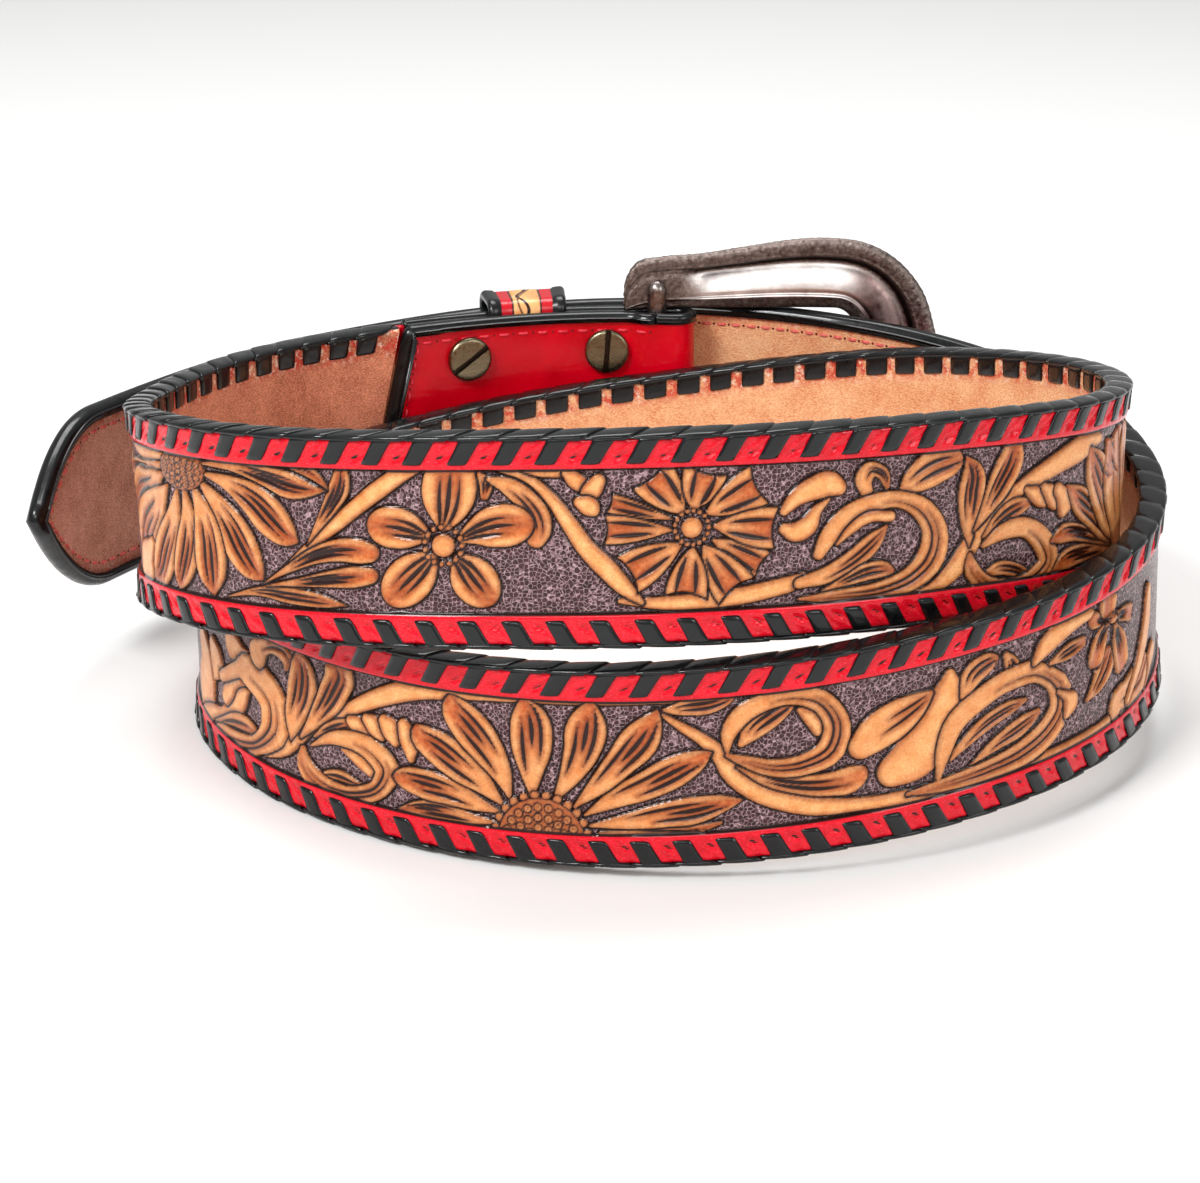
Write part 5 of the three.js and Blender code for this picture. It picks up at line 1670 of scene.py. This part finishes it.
def sewn(name, to_space, path, pitch, face_sign, length, material, slot):
    """Stitches at a pitch along a path of (along, up) pairs on a face of the strap."""
    path = np.asarray(path, float)
    points = to_space(path[:, 0], path[:, 1])
    steps = np.linalg.norm(np.diff(points, axis=0), axis=1)
    key = np.concatenate([[0], np.cumsum(steps)])
    count = max(2, int(key[-1] / (pitch * MM)))
    middle = (np.arange(count) + 0.5) / count * key[-1]
    edge = np.arange(count + 1) / count * key[-1]

    def at(where):
        return np.stack([np.interp(where, key, points[:, k]) for k in range(3)], -1)

    def outward_at(where):
        ahead = at(np.minimum(where + 5e-4, key[-1])) - at(np.maximum(where - 5e-4, 0))
        ahead /= np.linalg.norm(ahead, axis=1)[:, None]
        centre = at(where)
        radial = centre * (1, 1, 0)
        radial /= np.linalg.norm(radial, axis=1)[:, None]
        radial = radial - ahead * np.sum(radial * ahead, axis=1)[:, None]
        radial /= np.linalg.norm(radial, axis=1)[:, None]
        return ahead, radial * face_sign

    ahead, out = outward_at(middle)
    jitter = rng.normal(0, 0.05 * MM, (count, 1))
    thread = stitch_row(f"{name}_thread", at(middle) + ahead * jitter, ahead, out, length)
    finish_piece(thread, material, slot)
    _, out = outward_at(edge)
    finish_piece(stitch_holes(f"{name}_holes", at(edge), out), MAT_HOLE_SHADE, slot)


PANEL_FACE = BILLET_HALF


def on_panel(behind, up):
    return near_bar(behind, leg_offset(behind, -1) - PANEL_FACE, up)


slope = np.array([-PANEL_SLANT, STRAP_WIDTH]) / math.hypot(PANEL_SLANT, STRAP_WIDTH)
ROW_DEEP = 4.1
END_ROW_DEEP = 4.9
end_top = PANEL_LENGTH + PANEL_SLANT * ROW_DEEP / STRAP_WIDTH - END_ROW_DEEP
end_low = PANEL_LENGTH + PANEL_SLANT * (STRAP_WIDTH - ROW_DEEP) / STRAP_WIDTH - END_ROW_DEEP
top_row = [(behind, STRAP_WIDTH - ROW_DEEP) for behind in np.linspace(1, end_top, 60)]
end_row = [
    (end_top + (end_low - end_top) * s, STRAP_WIDTH - ROW_DEEP - (STRAP_WIDTH - 2 * ROW_DEEP) * s)
    for s in np.linspace(0, 1, 40)
]
low_row = [(behind, ROW_DEEP) for behind in np.linspace(end_low, 1, 60)]
# Seams of the panel: pitch and length of their stitches.
PANEL_SIDE_SEAM = (4.0, 2.4)
PANEL_END_SEAM = (3.2, 1.9)
for word, row in (("top", top_row), ("end", end_row), ("low", low_row)):
    pitch, length = PANEL_END_SEAM if word == "end" else PANEL_SIDE_SEAM
    sewn(f"panel_{word}", on_panel, row, pitch, -1, length, MAT_PANEL_THREAD, "red_leather")


TIP_SEW_INSET = 4.9
TIP_STITCH_PITCH = 3.3
TIP_STITCH_LENGTH = 2.2


def tip_row():
    """Path of the tip strap's stitches: along the top edge, round the point and back."""
    turn = turn_of(np.arange(run_of(go(END_LAP_TURN, 6)), run_of(POINT_START_TURN), 2.0))
    top = [(value, STRAP_WIDTH - TIP_SEW_INSET) for value in turn]
    curve = []
    for share in np.linspace(1, 0.06, 40)[1:]:
        reach = TIP_SEW_INSET * APEX_REACH
        curve.append((TIP_TURN - (reach + (TIP_POINT - reach) * share) / TIP_PACE,
                      (MIDDLE - TIP_SEW_INSET) * point_share(share)))
    upper = [(x, MIDDLE + y) for x, y in curve]
    lower = [(x, MIDDLE - y) for x, y in curve[::-1]]
    low = [(value, 4.9) for value in turn[::-1]]
    return top + upper + lower + low


def on_tip(side):
    return lambda turn, up: strap(turn, side * TIP_HALF, up)


sewn("tip_inner", on_tip(-1), tip_row(), TIP_STITCH_PITCH, -1, TIP_STITCH_LENGTH,
     MAT_THREAD, "tip_leather")
sewn("tip_outer", on_tip(1), tip_row(), TIP_STITCH_PITCH, 1, TIP_STITCH_LENGTH,
     MAT_PANEL_THREAD, "tip_leather")


# Keeper: a band round the strap with rolled black edges, red stripes and a tan middle.
KEEPER_SEAM = 36


def keeper():
    turn = BAR_TURN + KEEPER_PLACE / pace(BAR_TURN)
    layers = along_route(turn + 2, LAYER) - along_route(turn, LAYER)
    tip_out = layers * LAYER_PITCH
    corner = KEEPER_CORNER
    near = KEEPER_INNER + KEEPER_THICK + corner
    far = tip_out + TIP_BINDING_HALF + FIT_GAP * 2 - corner
    low = corner - KEEPER_SLACK
    high = STRAP_WIDTH + KEEPER_SLACK - corner
    path = []
    corners = [(far, high), (near, high), (near, low), (far, low)]
    for quarter, (out, up) in enumerate(corners):
        for i in range(9):
            angle = (quarter + i / 8) * math.pi / 2
            path.append((out, up, math.cos(angle), math.sin(angle)))
        next_out, next_up = corners[(quarter + 1) % 4]
        angle = (quarter + 1) * math.pi / 2
        for share in np.linspace(0, 1, 14)[1:-1]:
            path.append((
                out + (next_out - out) * share, up + (next_up - up) * share,
                math.cos(angle), math.sin(angle),
            ))
    path = np.roll(np.array(path), -KEEPER_SEAM, axis=0)
    half = KEEPER_WIDTH / 2
    roll = 1.05
    outer = [(half - roll + roll * math.sin(a), roll * math.cos(a) - 0.55)
             for a in np.linspace(0, math.pi * 0.95, 9)]
    outer = [(-x, y) for x, y in outer[::-1]] + [
        (-6.3, 0.35), (-5.9, 0.02), (-5.5, 0.0), (-3.5, 0.0), (-3.2, -0.08), (-2.9, 0.04), (-1.4, 0.08),
        (0, 0.1), (1.4, 0.08), (2.9, 0.04), (3.2, -0.08), (3.5, 0.0), (5.5, 0.0), (5.9, 0.02), (6.3, 0.35),
    ] + outer
    inner = [(half - 1.5, -KEEPER_THICK), (0, -KEEPER_THICK), (-half + 1.5, -KEEPER_THICK)]
    section = np.array(outer + inner)
    along = section[:, 0][None, :]
    depth = corner + KEEPER_THICK + section[:, 1][None, :]
    out = path[:, 0][:, None] + path[:, 2][:, None] * depth
    up = path[:, 1][:, None] + path[:, 3][:, None] * depth
    points = near_bar(KEEPER_PLACE + along, out, up)
    steps = np.hypot(np.diff(path[:, 0] + path[:, 2] * 3), np.diff(path[:, 1] + path[:, 3] * 3))
    run = np.concatenate([[0], np.cumsum(steps)])
    shape = points.shape[:2]
    fields = {
        "across": np.broadcast_to(along, shape),
        "along": np.broadcast_to(run[:, None], shape),
        "band_place": np.stack(np.broadcast_arrays(along, run[:, None], 0.0), -1),
    }
    obj = grid_mesh("keeper_band", points, fields, around=True, closed=True)
    face_out(obj)
    return obj


finish_piece(keeper(), MAT_KEEPER, "keeper_leather", "keeper")


SLOT_DEPTH = 0.7
SLOT_HALF = 0.55
PAD_STEPS = 48
SCREW_PLACES = [
    (SCREW_NEAR, MIDDLE + SCREW_ROW, 1.5),
    (SCREW_FAR, MIDDLE + SCREW_ROW, 0.6),
    (SCREW_NEAR, MIDDLE - SCREW_ROW, 0.3),
    (SCREW_FAR, MIDDLE - SCREW_ROW, 2.2),
]


def screw(index, behind, up, slot):
    where = Frame(BAR_TURN + behind / pace(BAR_TURN), 0, up)
    seat = INNER_LEG - BILLET_HALF - FIT_GAP
    back_seat = OUTER_LEG + BILLET_HALF + FIT_GAP
    head = SCREW_HEAD / 2
    face = seat - SCREW_HEAD_THICK
    back_face = back_seat + 1.0
    floor = face + SLOT_DEPTH
    body = [
        (0, floor), (head - 0.02, floor), (head, floor + 0.03), (head, seat - 0.1),
        (head - 0.1, seat + 0.25),
        (2.2, seat + 0.25), (2.2, back_seat), (head, back_seat),
        (head, back_face - 0.4), (head - 0.12, back_face - 0.15), (head - 0.4, back_face), (0, back_face),
    ]
    sides = 72
    angle = TAU * np.arange(sides) / sides
    radius = np.maximum(np.array(body)[:, 0], 0.002)[:, None]
    depth = np.broadcast_to(np.array(body)[:, 1][:, None], (len(body), sides))
    points = where.at(np.stack([radius * np.cos(angle), depth, radius * np.sin(angle)], -1))
    # Painted shade: the slot floor is coloured dark.
    dark = np.zeros(depth.shape)
    dark[:2] = 1
    parts = [(points, grid_faces(len(body), sides, around=True), {"dark": dark})]
    levels = np.array([
        (head, SLOT_DEPTH + 0.02), (head - 0.03, SLOT_DEPTH - 0.12), (head - 0.14, 0.44),
        (head - 0.32, 0.26), (head - 0.6, 0.15), (head * 0.7, 0.08), (head * 0.5, 0.04),
        (head * 0.3, 0.01), (SLOT_HALF + 0.12, 0), (SLOT_HALF + 0.002, 0),
    ])
    for half_turn in (0, math.pi):
        rows = []
        for size, rise in levels:
            start = math.asin(SLOT_HALF / size)
            around = np.linspace(start, math.pi - start, PAD_STEPS) + half_turn + slot
            height = np.full(PAD_STEPS, face + rise)
            rows.append(np.stack([size * np.cos(around), height, size * np.sin(around)], -1))
        rows = np.array(rows)
        # Painted shade: the slot's side edges and the head's rim edge are coloured dark.
        dark = np.zeros(rows.shape[:2])
        dark[:, :1] = dark[:, -1:] = 0.9
        dark[0] = 1
        parts.append((where.at(rows), grid_faces(len(levels), PAD_STEPS, around=True), {"dark": dark}))
    obj = joined(f"slotted_screw_{index}", parts)
    face_out(obj)
    obj.data.shade_smooth()
    obj.data.set_sharp_from_angle(angle=math.radians(35))
    return obj


for index, (behind, up, slot) in enumerate(SCREW_PLACES, 1):
    finish_piece(screw(index, behind, up, slot), MAT_SCREW, "screw_metal", f"screw_{index}")


# Buckle, in its own frame: X towards the broad end from the bar, Y outward, Z up.
BUCKLE_OUTLINE = [
    (-0.115, 0.6), (-0.108, 0.76), (-0.072, 0.855), (0.01, 0.885), (0.14, 0.902), (0.29, 0.94),
    (0.45, 0.985), (0.585, 1), (0.7, 0.98), (0.82, 0.88), (0.905, 0.72), (0.965, 0.44), (1, 0),
]
# Rail's section: share across from the rim to the window, out as a share of the depth, hollow depth.
RAIL_FRONT = [(1, 0.35, 0), (0.97, 0.5, 0), (0.85, 0.75, 0), (0.7, 0.92, 0), (0.55, 1, 0), (0.4, 0.99, 0),
              (0.25, 0.92, 0), (0.13, 0.76, 0), (0.04, 0.5, 0), (0.01, 0.38, 0)]
RAIL_BACK = [(0, 0.24, 0), (0.015, 0.13, 0), (0.05, 0.05, 0), (0.1, 0.02, 0), (0.16, 0.02, 0),
             (0.2, 0.05, 0),
             (0.235, 0.04, 0), (0.265, 0.1, 0.12), (0.3, 0.1, 0.3), (0.335, 0.1, 0.46), (0.37, 0.08, 0.5),
             (0.42, 0.06, 0.44), (0.47, 0.06, 0.35), (0.53, 0.06, 0.27), (0.6, 0.06, 0.19),
             (0.68, 0.06, 0.12),
             (0.76, 0.06, 0.07), (0.79, 0.06, 0.13), (0.82, 0.04, 0), (0.85, 0.09, 0), (0.9, 0.1, 0),
             (0.96, 0.1, 0), (0.99, 0.14, 0), (1, 0.22, 0)]
HEEL_WALL = 0.3
WINDOW_SIDE_SHARE = 0.6
WINDOW_ALONG_POWER = 0.9
WINDOW_UP_POWER = 0.7
SEAT_SHARE = 0.75
HOLLOW_START = 4.0
HOLLOW_FULL = 12.0
HOOK_START = 1.72
HOOK_STEP = 0.2
HOOK_SECTIONS = 6
PRONG_TAPER = 0.3
TAPER_START = 0.86


def buckle_outline(count):
    upper = np.array(BUCKLE_OUTLINE) * (BUCKLE_LENGTH, BUCKLE_HALF_HEIGHT)
    rows = np.concatenate([upper, (upper[:-1] * (1, -1))[::-1]])
    return spread(rows, count)


def window_point(share):
    end = BUCKLE_LENGTH - BUCKLE_END_WIDTH
    straight = end - WINDOW_CORNER
    heel = -BUCKLE_HEEL + HEEL_WALL
    side = np.minimum(share, 1 - share) * 2
    sign = np.where(share < 0.5, 1, -1)
    run = (straight - heel) * side / WINDOW_SIDE_SHARE
    angle = np.clip((side - WINDOW_SIDE_SHARE) / (1 - WINDOW_SIDE_SHARE), 0, 1) * math.pi / 2
    early = side < WINDOW_SIDE_SHARE
    x = np.where(early, heel + run, straight + (end - straight) * np.sin(angle) ** WINDOW_ALONG_POWER)
    z = np.where(early, 1, np.cos(angle) ** WINDOW_UP_POWER) * sign * WINDOW_HALF_HEIGHT
    return x, z


BAR_FRAME = Frame(BAR_TURN, 0, MIDDLE)
BUCKLE_FRAME = Frame(BAR_TURN, 0, MIDDLE - BUCKLE_DROP)


def tip_out_at(along):
    turn = 2 + BAR_TURN - along / pace(BAR_TURN)
    for _ in range(6):
        local = BAR_FRAME.inverse(place_mm(turn, 0, MIDDLE) + SHIFT)
        turn += (local[0] - along) / pace(turn)
    return BAR_FRAME.inverse(place_mm(turn, 0, MIDDLE) + SHIFT)[1]


SEAT_AT = BUCKLE_LENGTH - BUCKLE_END_WIDTH - WINDOW_CORNER * SEAT_SHARE
SEAT_OUT = tip_out_at(SEAT_AT) + TIP_BINDING_HALF + FIT_GAP


def frame_out(along):
    def bulge(x):
        share = (x + BUCKLE_HEEL) / (BUCKLE_LENGTH + BUCKLE_HEEL) * 2 - 1
        return FRAME_BOW * (1 - share * share)
    tilt = (SEAT_OUT - FRAME_LIFT - bulge(SEAT_AT)) / SEAT_AT
    return FRAME_LIFT + bulge(along) + tilt * along


def buckle_frame():
    count = 260
    share = np.linspace(0, 1, count)
    edge = buckle_outline(count)
    window_x, window_z = window_point(share)
    steps = np.linalg.norm(np.diff(edge, axis=0), axis=1)
    key = np.concatenate([[0], np.cumsum(steps)])
    section = np.array(RAIL_BACK + RAIL_FRONT)
    dense = np.concatenate([
        section[:-1] + (section[1:] - section[:-1]) * f for f in (0, 0.5)
    ]).reshape(2, -1, 3).transpose(1, 0, 2).reshape(-1, 3)
    across, out, hollow = dense.T[:, None, :]
    x = edge[:, 0:1] + (window_x - edge[:, 0])[:, None] * across
    z = edge[:, 1:2] + (window_z - edge[:, 1])[:, None] * across
    opened = smooth(HOLLOW_START, HOLLOW_FULL, x)
    rope = np.sin(key / 1.9 * TAU)[:, None] * np.exp(-((across - 0.05) / 0.06) ** 2)
    rope = rope + 0.6 * np.sin(key / 0.83 * TAU + 1)[:, None] * np.exp(-((across - 0.1) / 0.09) ** 2)
    y = frame_out(x) + (out + hollow * opened) * FRAME_DEPTH - 0.16 * rope * (out < 0.3)
    away = np.gradient(edge, axis=0)
    away /= np.linalg.norm(away, axis=1)[:, None]
    x = x - 0.16 * rope * away[:, 1:2]
    z = z + 0.16 * rope * away[:, 0:1]
    points = BUCKLE_FRAME.at(np.stack([x, y, z], -1))
    back = out < 0.31
    polish = smooth(0.36, 0.42, across) * (1 - smooth(0.82, 0.85, across)) * back * opened
    groove = smooth(0.25, 0.28, across) * (1 - smooth(0.33, 0.36, across)) * back * opened
    strip = 0.55 * smooth(0.84, 0.87, across) * back * opened
    # Share of painted reflection, in the polished hollow towards the broad end.
    broad = smooth(BUCKLE_LENGTH * 0.6, BUCKLE_LENGTH * 0.74, x) * polish
    shape = x.shape
    fields = {
        "polish": np.broadcast_to(np.maximum(polish, 0), shape),
        "dark": np.broadcast_to(np.maximum(groove, strip), shape),
        "painted_reflection": np.broadcast_to(broad, shape),
    }
    obj = grid_mesh("cast_buckle", points, fields, around=True, cap=True)
    face_out(obj)
    return obj


def bar_pin():
    heights = BAR_HALF_HEIGHT - BAR_RADIUS * (1 - np.cos(np.linspace(0, math.pi / 2, 8))) * 1.2
    radii = BAR_RADIUS * np.sin(np.linspace(0, math.pi / 2, 8))
    steps = 12
    sides = 32
    shank = np.linspace(heights[-1] - 2, -heights[-1] + 2, steps)
    profile_z = np.concatenate([heights, shank, -heights[::-1]])
    profile_r = np.concatenate([radii, np.full(steps, BAR_RADIUS), radii[::-1]])
    radius = np.maximum(profile_r, 0.01)[:, None]
    angle = TAU * np.arange(sides) / sides
    points = np.stack([
        radius * np.cos(angle), radius * np.sin(angle),
        np.broadcast_to(profile_z[:, None], (len(profile_z), sides)),
    ], -1)
    obj = grid_mesh("buckle_bar", BUCKLE_FRAME.at(points), around=True, cap=True)
    face_out(obj)
    return obj


finish_piece(buckle_frame(), MAT_CAST, "buckle_metal", "buckle_frame")
finish_piece(bar_pin(), MAT_PIN, "buckle_metal")


def prong():
    """Hooked round the bar, out through the strap's hole and over it to the broad end."""
    radius = PRONG_DIAMETER / 2
    hook = BAR_RADIUS + FIT_GAP + radius
    tip_middle = (along_route(2 + BAR_TURN, LAYER) - along_route(BAR_TURN, LAYER)) * LAYER_PITCH
    over_tip = tip_middle + TIP_HALF + FIT_GAP + radius
    end_crown = frame_out(BUCKLE_LENGTH - BUCKLE_END_WIDTH / 2) + FRAME_DEPTH
    over_end = end_crown + FIT_GAP + radius
    path = []
    for i in range(HOOK_SECTIONS + 1):
        angle = math.pi * (HOOK_START - i * HOOK_STEP)
        path.append((hook * math.cos(angle), hook * math.sin(angle)))
    hole, length = PRONG_HOLE_AHEAD, BUCKLE_LENGTH
    path += [
        (hole * 0.3, hook + 0.5),
        (hole * 0.9, tip_middle - TIP_HALF - 0.4),
        (hole, tip_middle),
        (hole * 1.35, over_tip - 0.3),
        (hole * 2.4, over_tip + 0.4),
        (length * 0.55, (over_tip + over_end) / 2 + 0.8),
        (length * 0.8, over_end + 0.6),
        (length * 0.9, over_end + 0.3),
    ]
    line = spread(np.array(path), 90)
    share = np.linspace(0, 1, 90)
    size = radius * (1 - PRONG_TAPER * smooth(TAPER_START, 1, share))
    size[-4:] *= np.array([0.98, 0.92, 0.78, 0.4])
    ahead = np.gradient(line, axis=0)
    ahead /= np.linalg.norm(ahead, axis=1)[:, None]
    angle = TAU * np.arange(20) / 20
    x = line[:, 0:1] - ahead[:, 1:2] * np.cos(angle) * size[:, None]
    y = line[:, 1:2] + ahead[:, 0:1] * np.cos(angle) * size[:, None]
    z = np.sin(angle) * size[:, None]
    obj = grid_mesh("prong_tongue", BAR_FRAME.at(np.stack([x, y, np.broadcast_to(z, x.shape)], -1)),
                    around=True, cap=True)
    face_out(obj)
    return obj


finish_piece(prong(), MAT_PIN, "buckle_metal", "prong")


# Floor, light and camera


def stage_and_light():
    bpy.ops.mesh.primitive_plane_add(size=12, location=(0, 0, 0))
    floor = bpy.context.object
    floor.name = "floor"
    s = Shader("pale_floor", 0.85, specular=0.1)
    s.color(linear(232, 232, 231))
    floor.data.materials.append(s.material)
    world = bpy.data.worlds.new("studio")
    bpy.context.scene.world = world
    world.use_nodes = True
    background = world.node_tree.nodes["Background"]
    background.inputs["Color"].default_value = (1, 1, 1, 1)
    background.inputs["Strength"].default_value = 0.42

    def area(name, place, target, size, power, color=(1, 1, 1)):
        light = bpy.data.lights.new(name, "AREA")
        light.shape = "RECTANGLE"
        light.size, light.size_y = size
        light.energy = power
        light.color = color
        obj = bpy.data.objects.new(name, light)
        obj.location = place
        direction = Vector(target) - Vector(place)
        obj.rotation_euler = direction.to_track_quat("-Z", "Y").to_euler()
        bpy.context.scene.collection.objects.link(obj)

    area("key", (-0.5, -0.75, 0.9), (0, 0, 0.03), (0.4, 0.3), 12)
    area("fill", (0.9, -0.6, 0.5), (0, 0, 0.03), (0.5, 0.35), 3)
    area("front", (0.1, -0.95, 0.6), (0, 0, 0.05), (0.55, 0.28), 2.4)
    area("top", (0.0, 0.35, 1.1), (0, 0, 0.04), (0.7, 0.45), 8.5)


def camera():
    angle = CAMERA_ANGLE
    back = CAMERA_DISTANCE * np.array([0, -math.cos(angle), math.sin(angle)])
    cosine, sine = math.cos(CAMERA_YAW), math.sin(CAMERA_YAW)
    turn = np.array([[cosine, sine, 0], [-sine, cosine, 0], [0, 0, 1]])
    data = bpy.data.cameras.new("camera")
    data.sensor_width = 36
    data.lens = FOCAL / PHOTO_WIDTH * data.sensor_width
    data.clip_start = 0.01
    obj = bpy.data.objects.new("camera", data)
    obj.location = Vector((turn @ (np.array(CAMERA_TARGET) + back) + SHIFT) * MM)
    obj.rotation_euler = (math.pi / 2 - angle, 0, -CAMERA_YAW)
    bpy.context.scene.collection.objects.link(obj)
    bpy.context.scene.camera = obj


stage_and_light()
camera()
bpy.context.scene.view_settings.view_transform = "Standard"
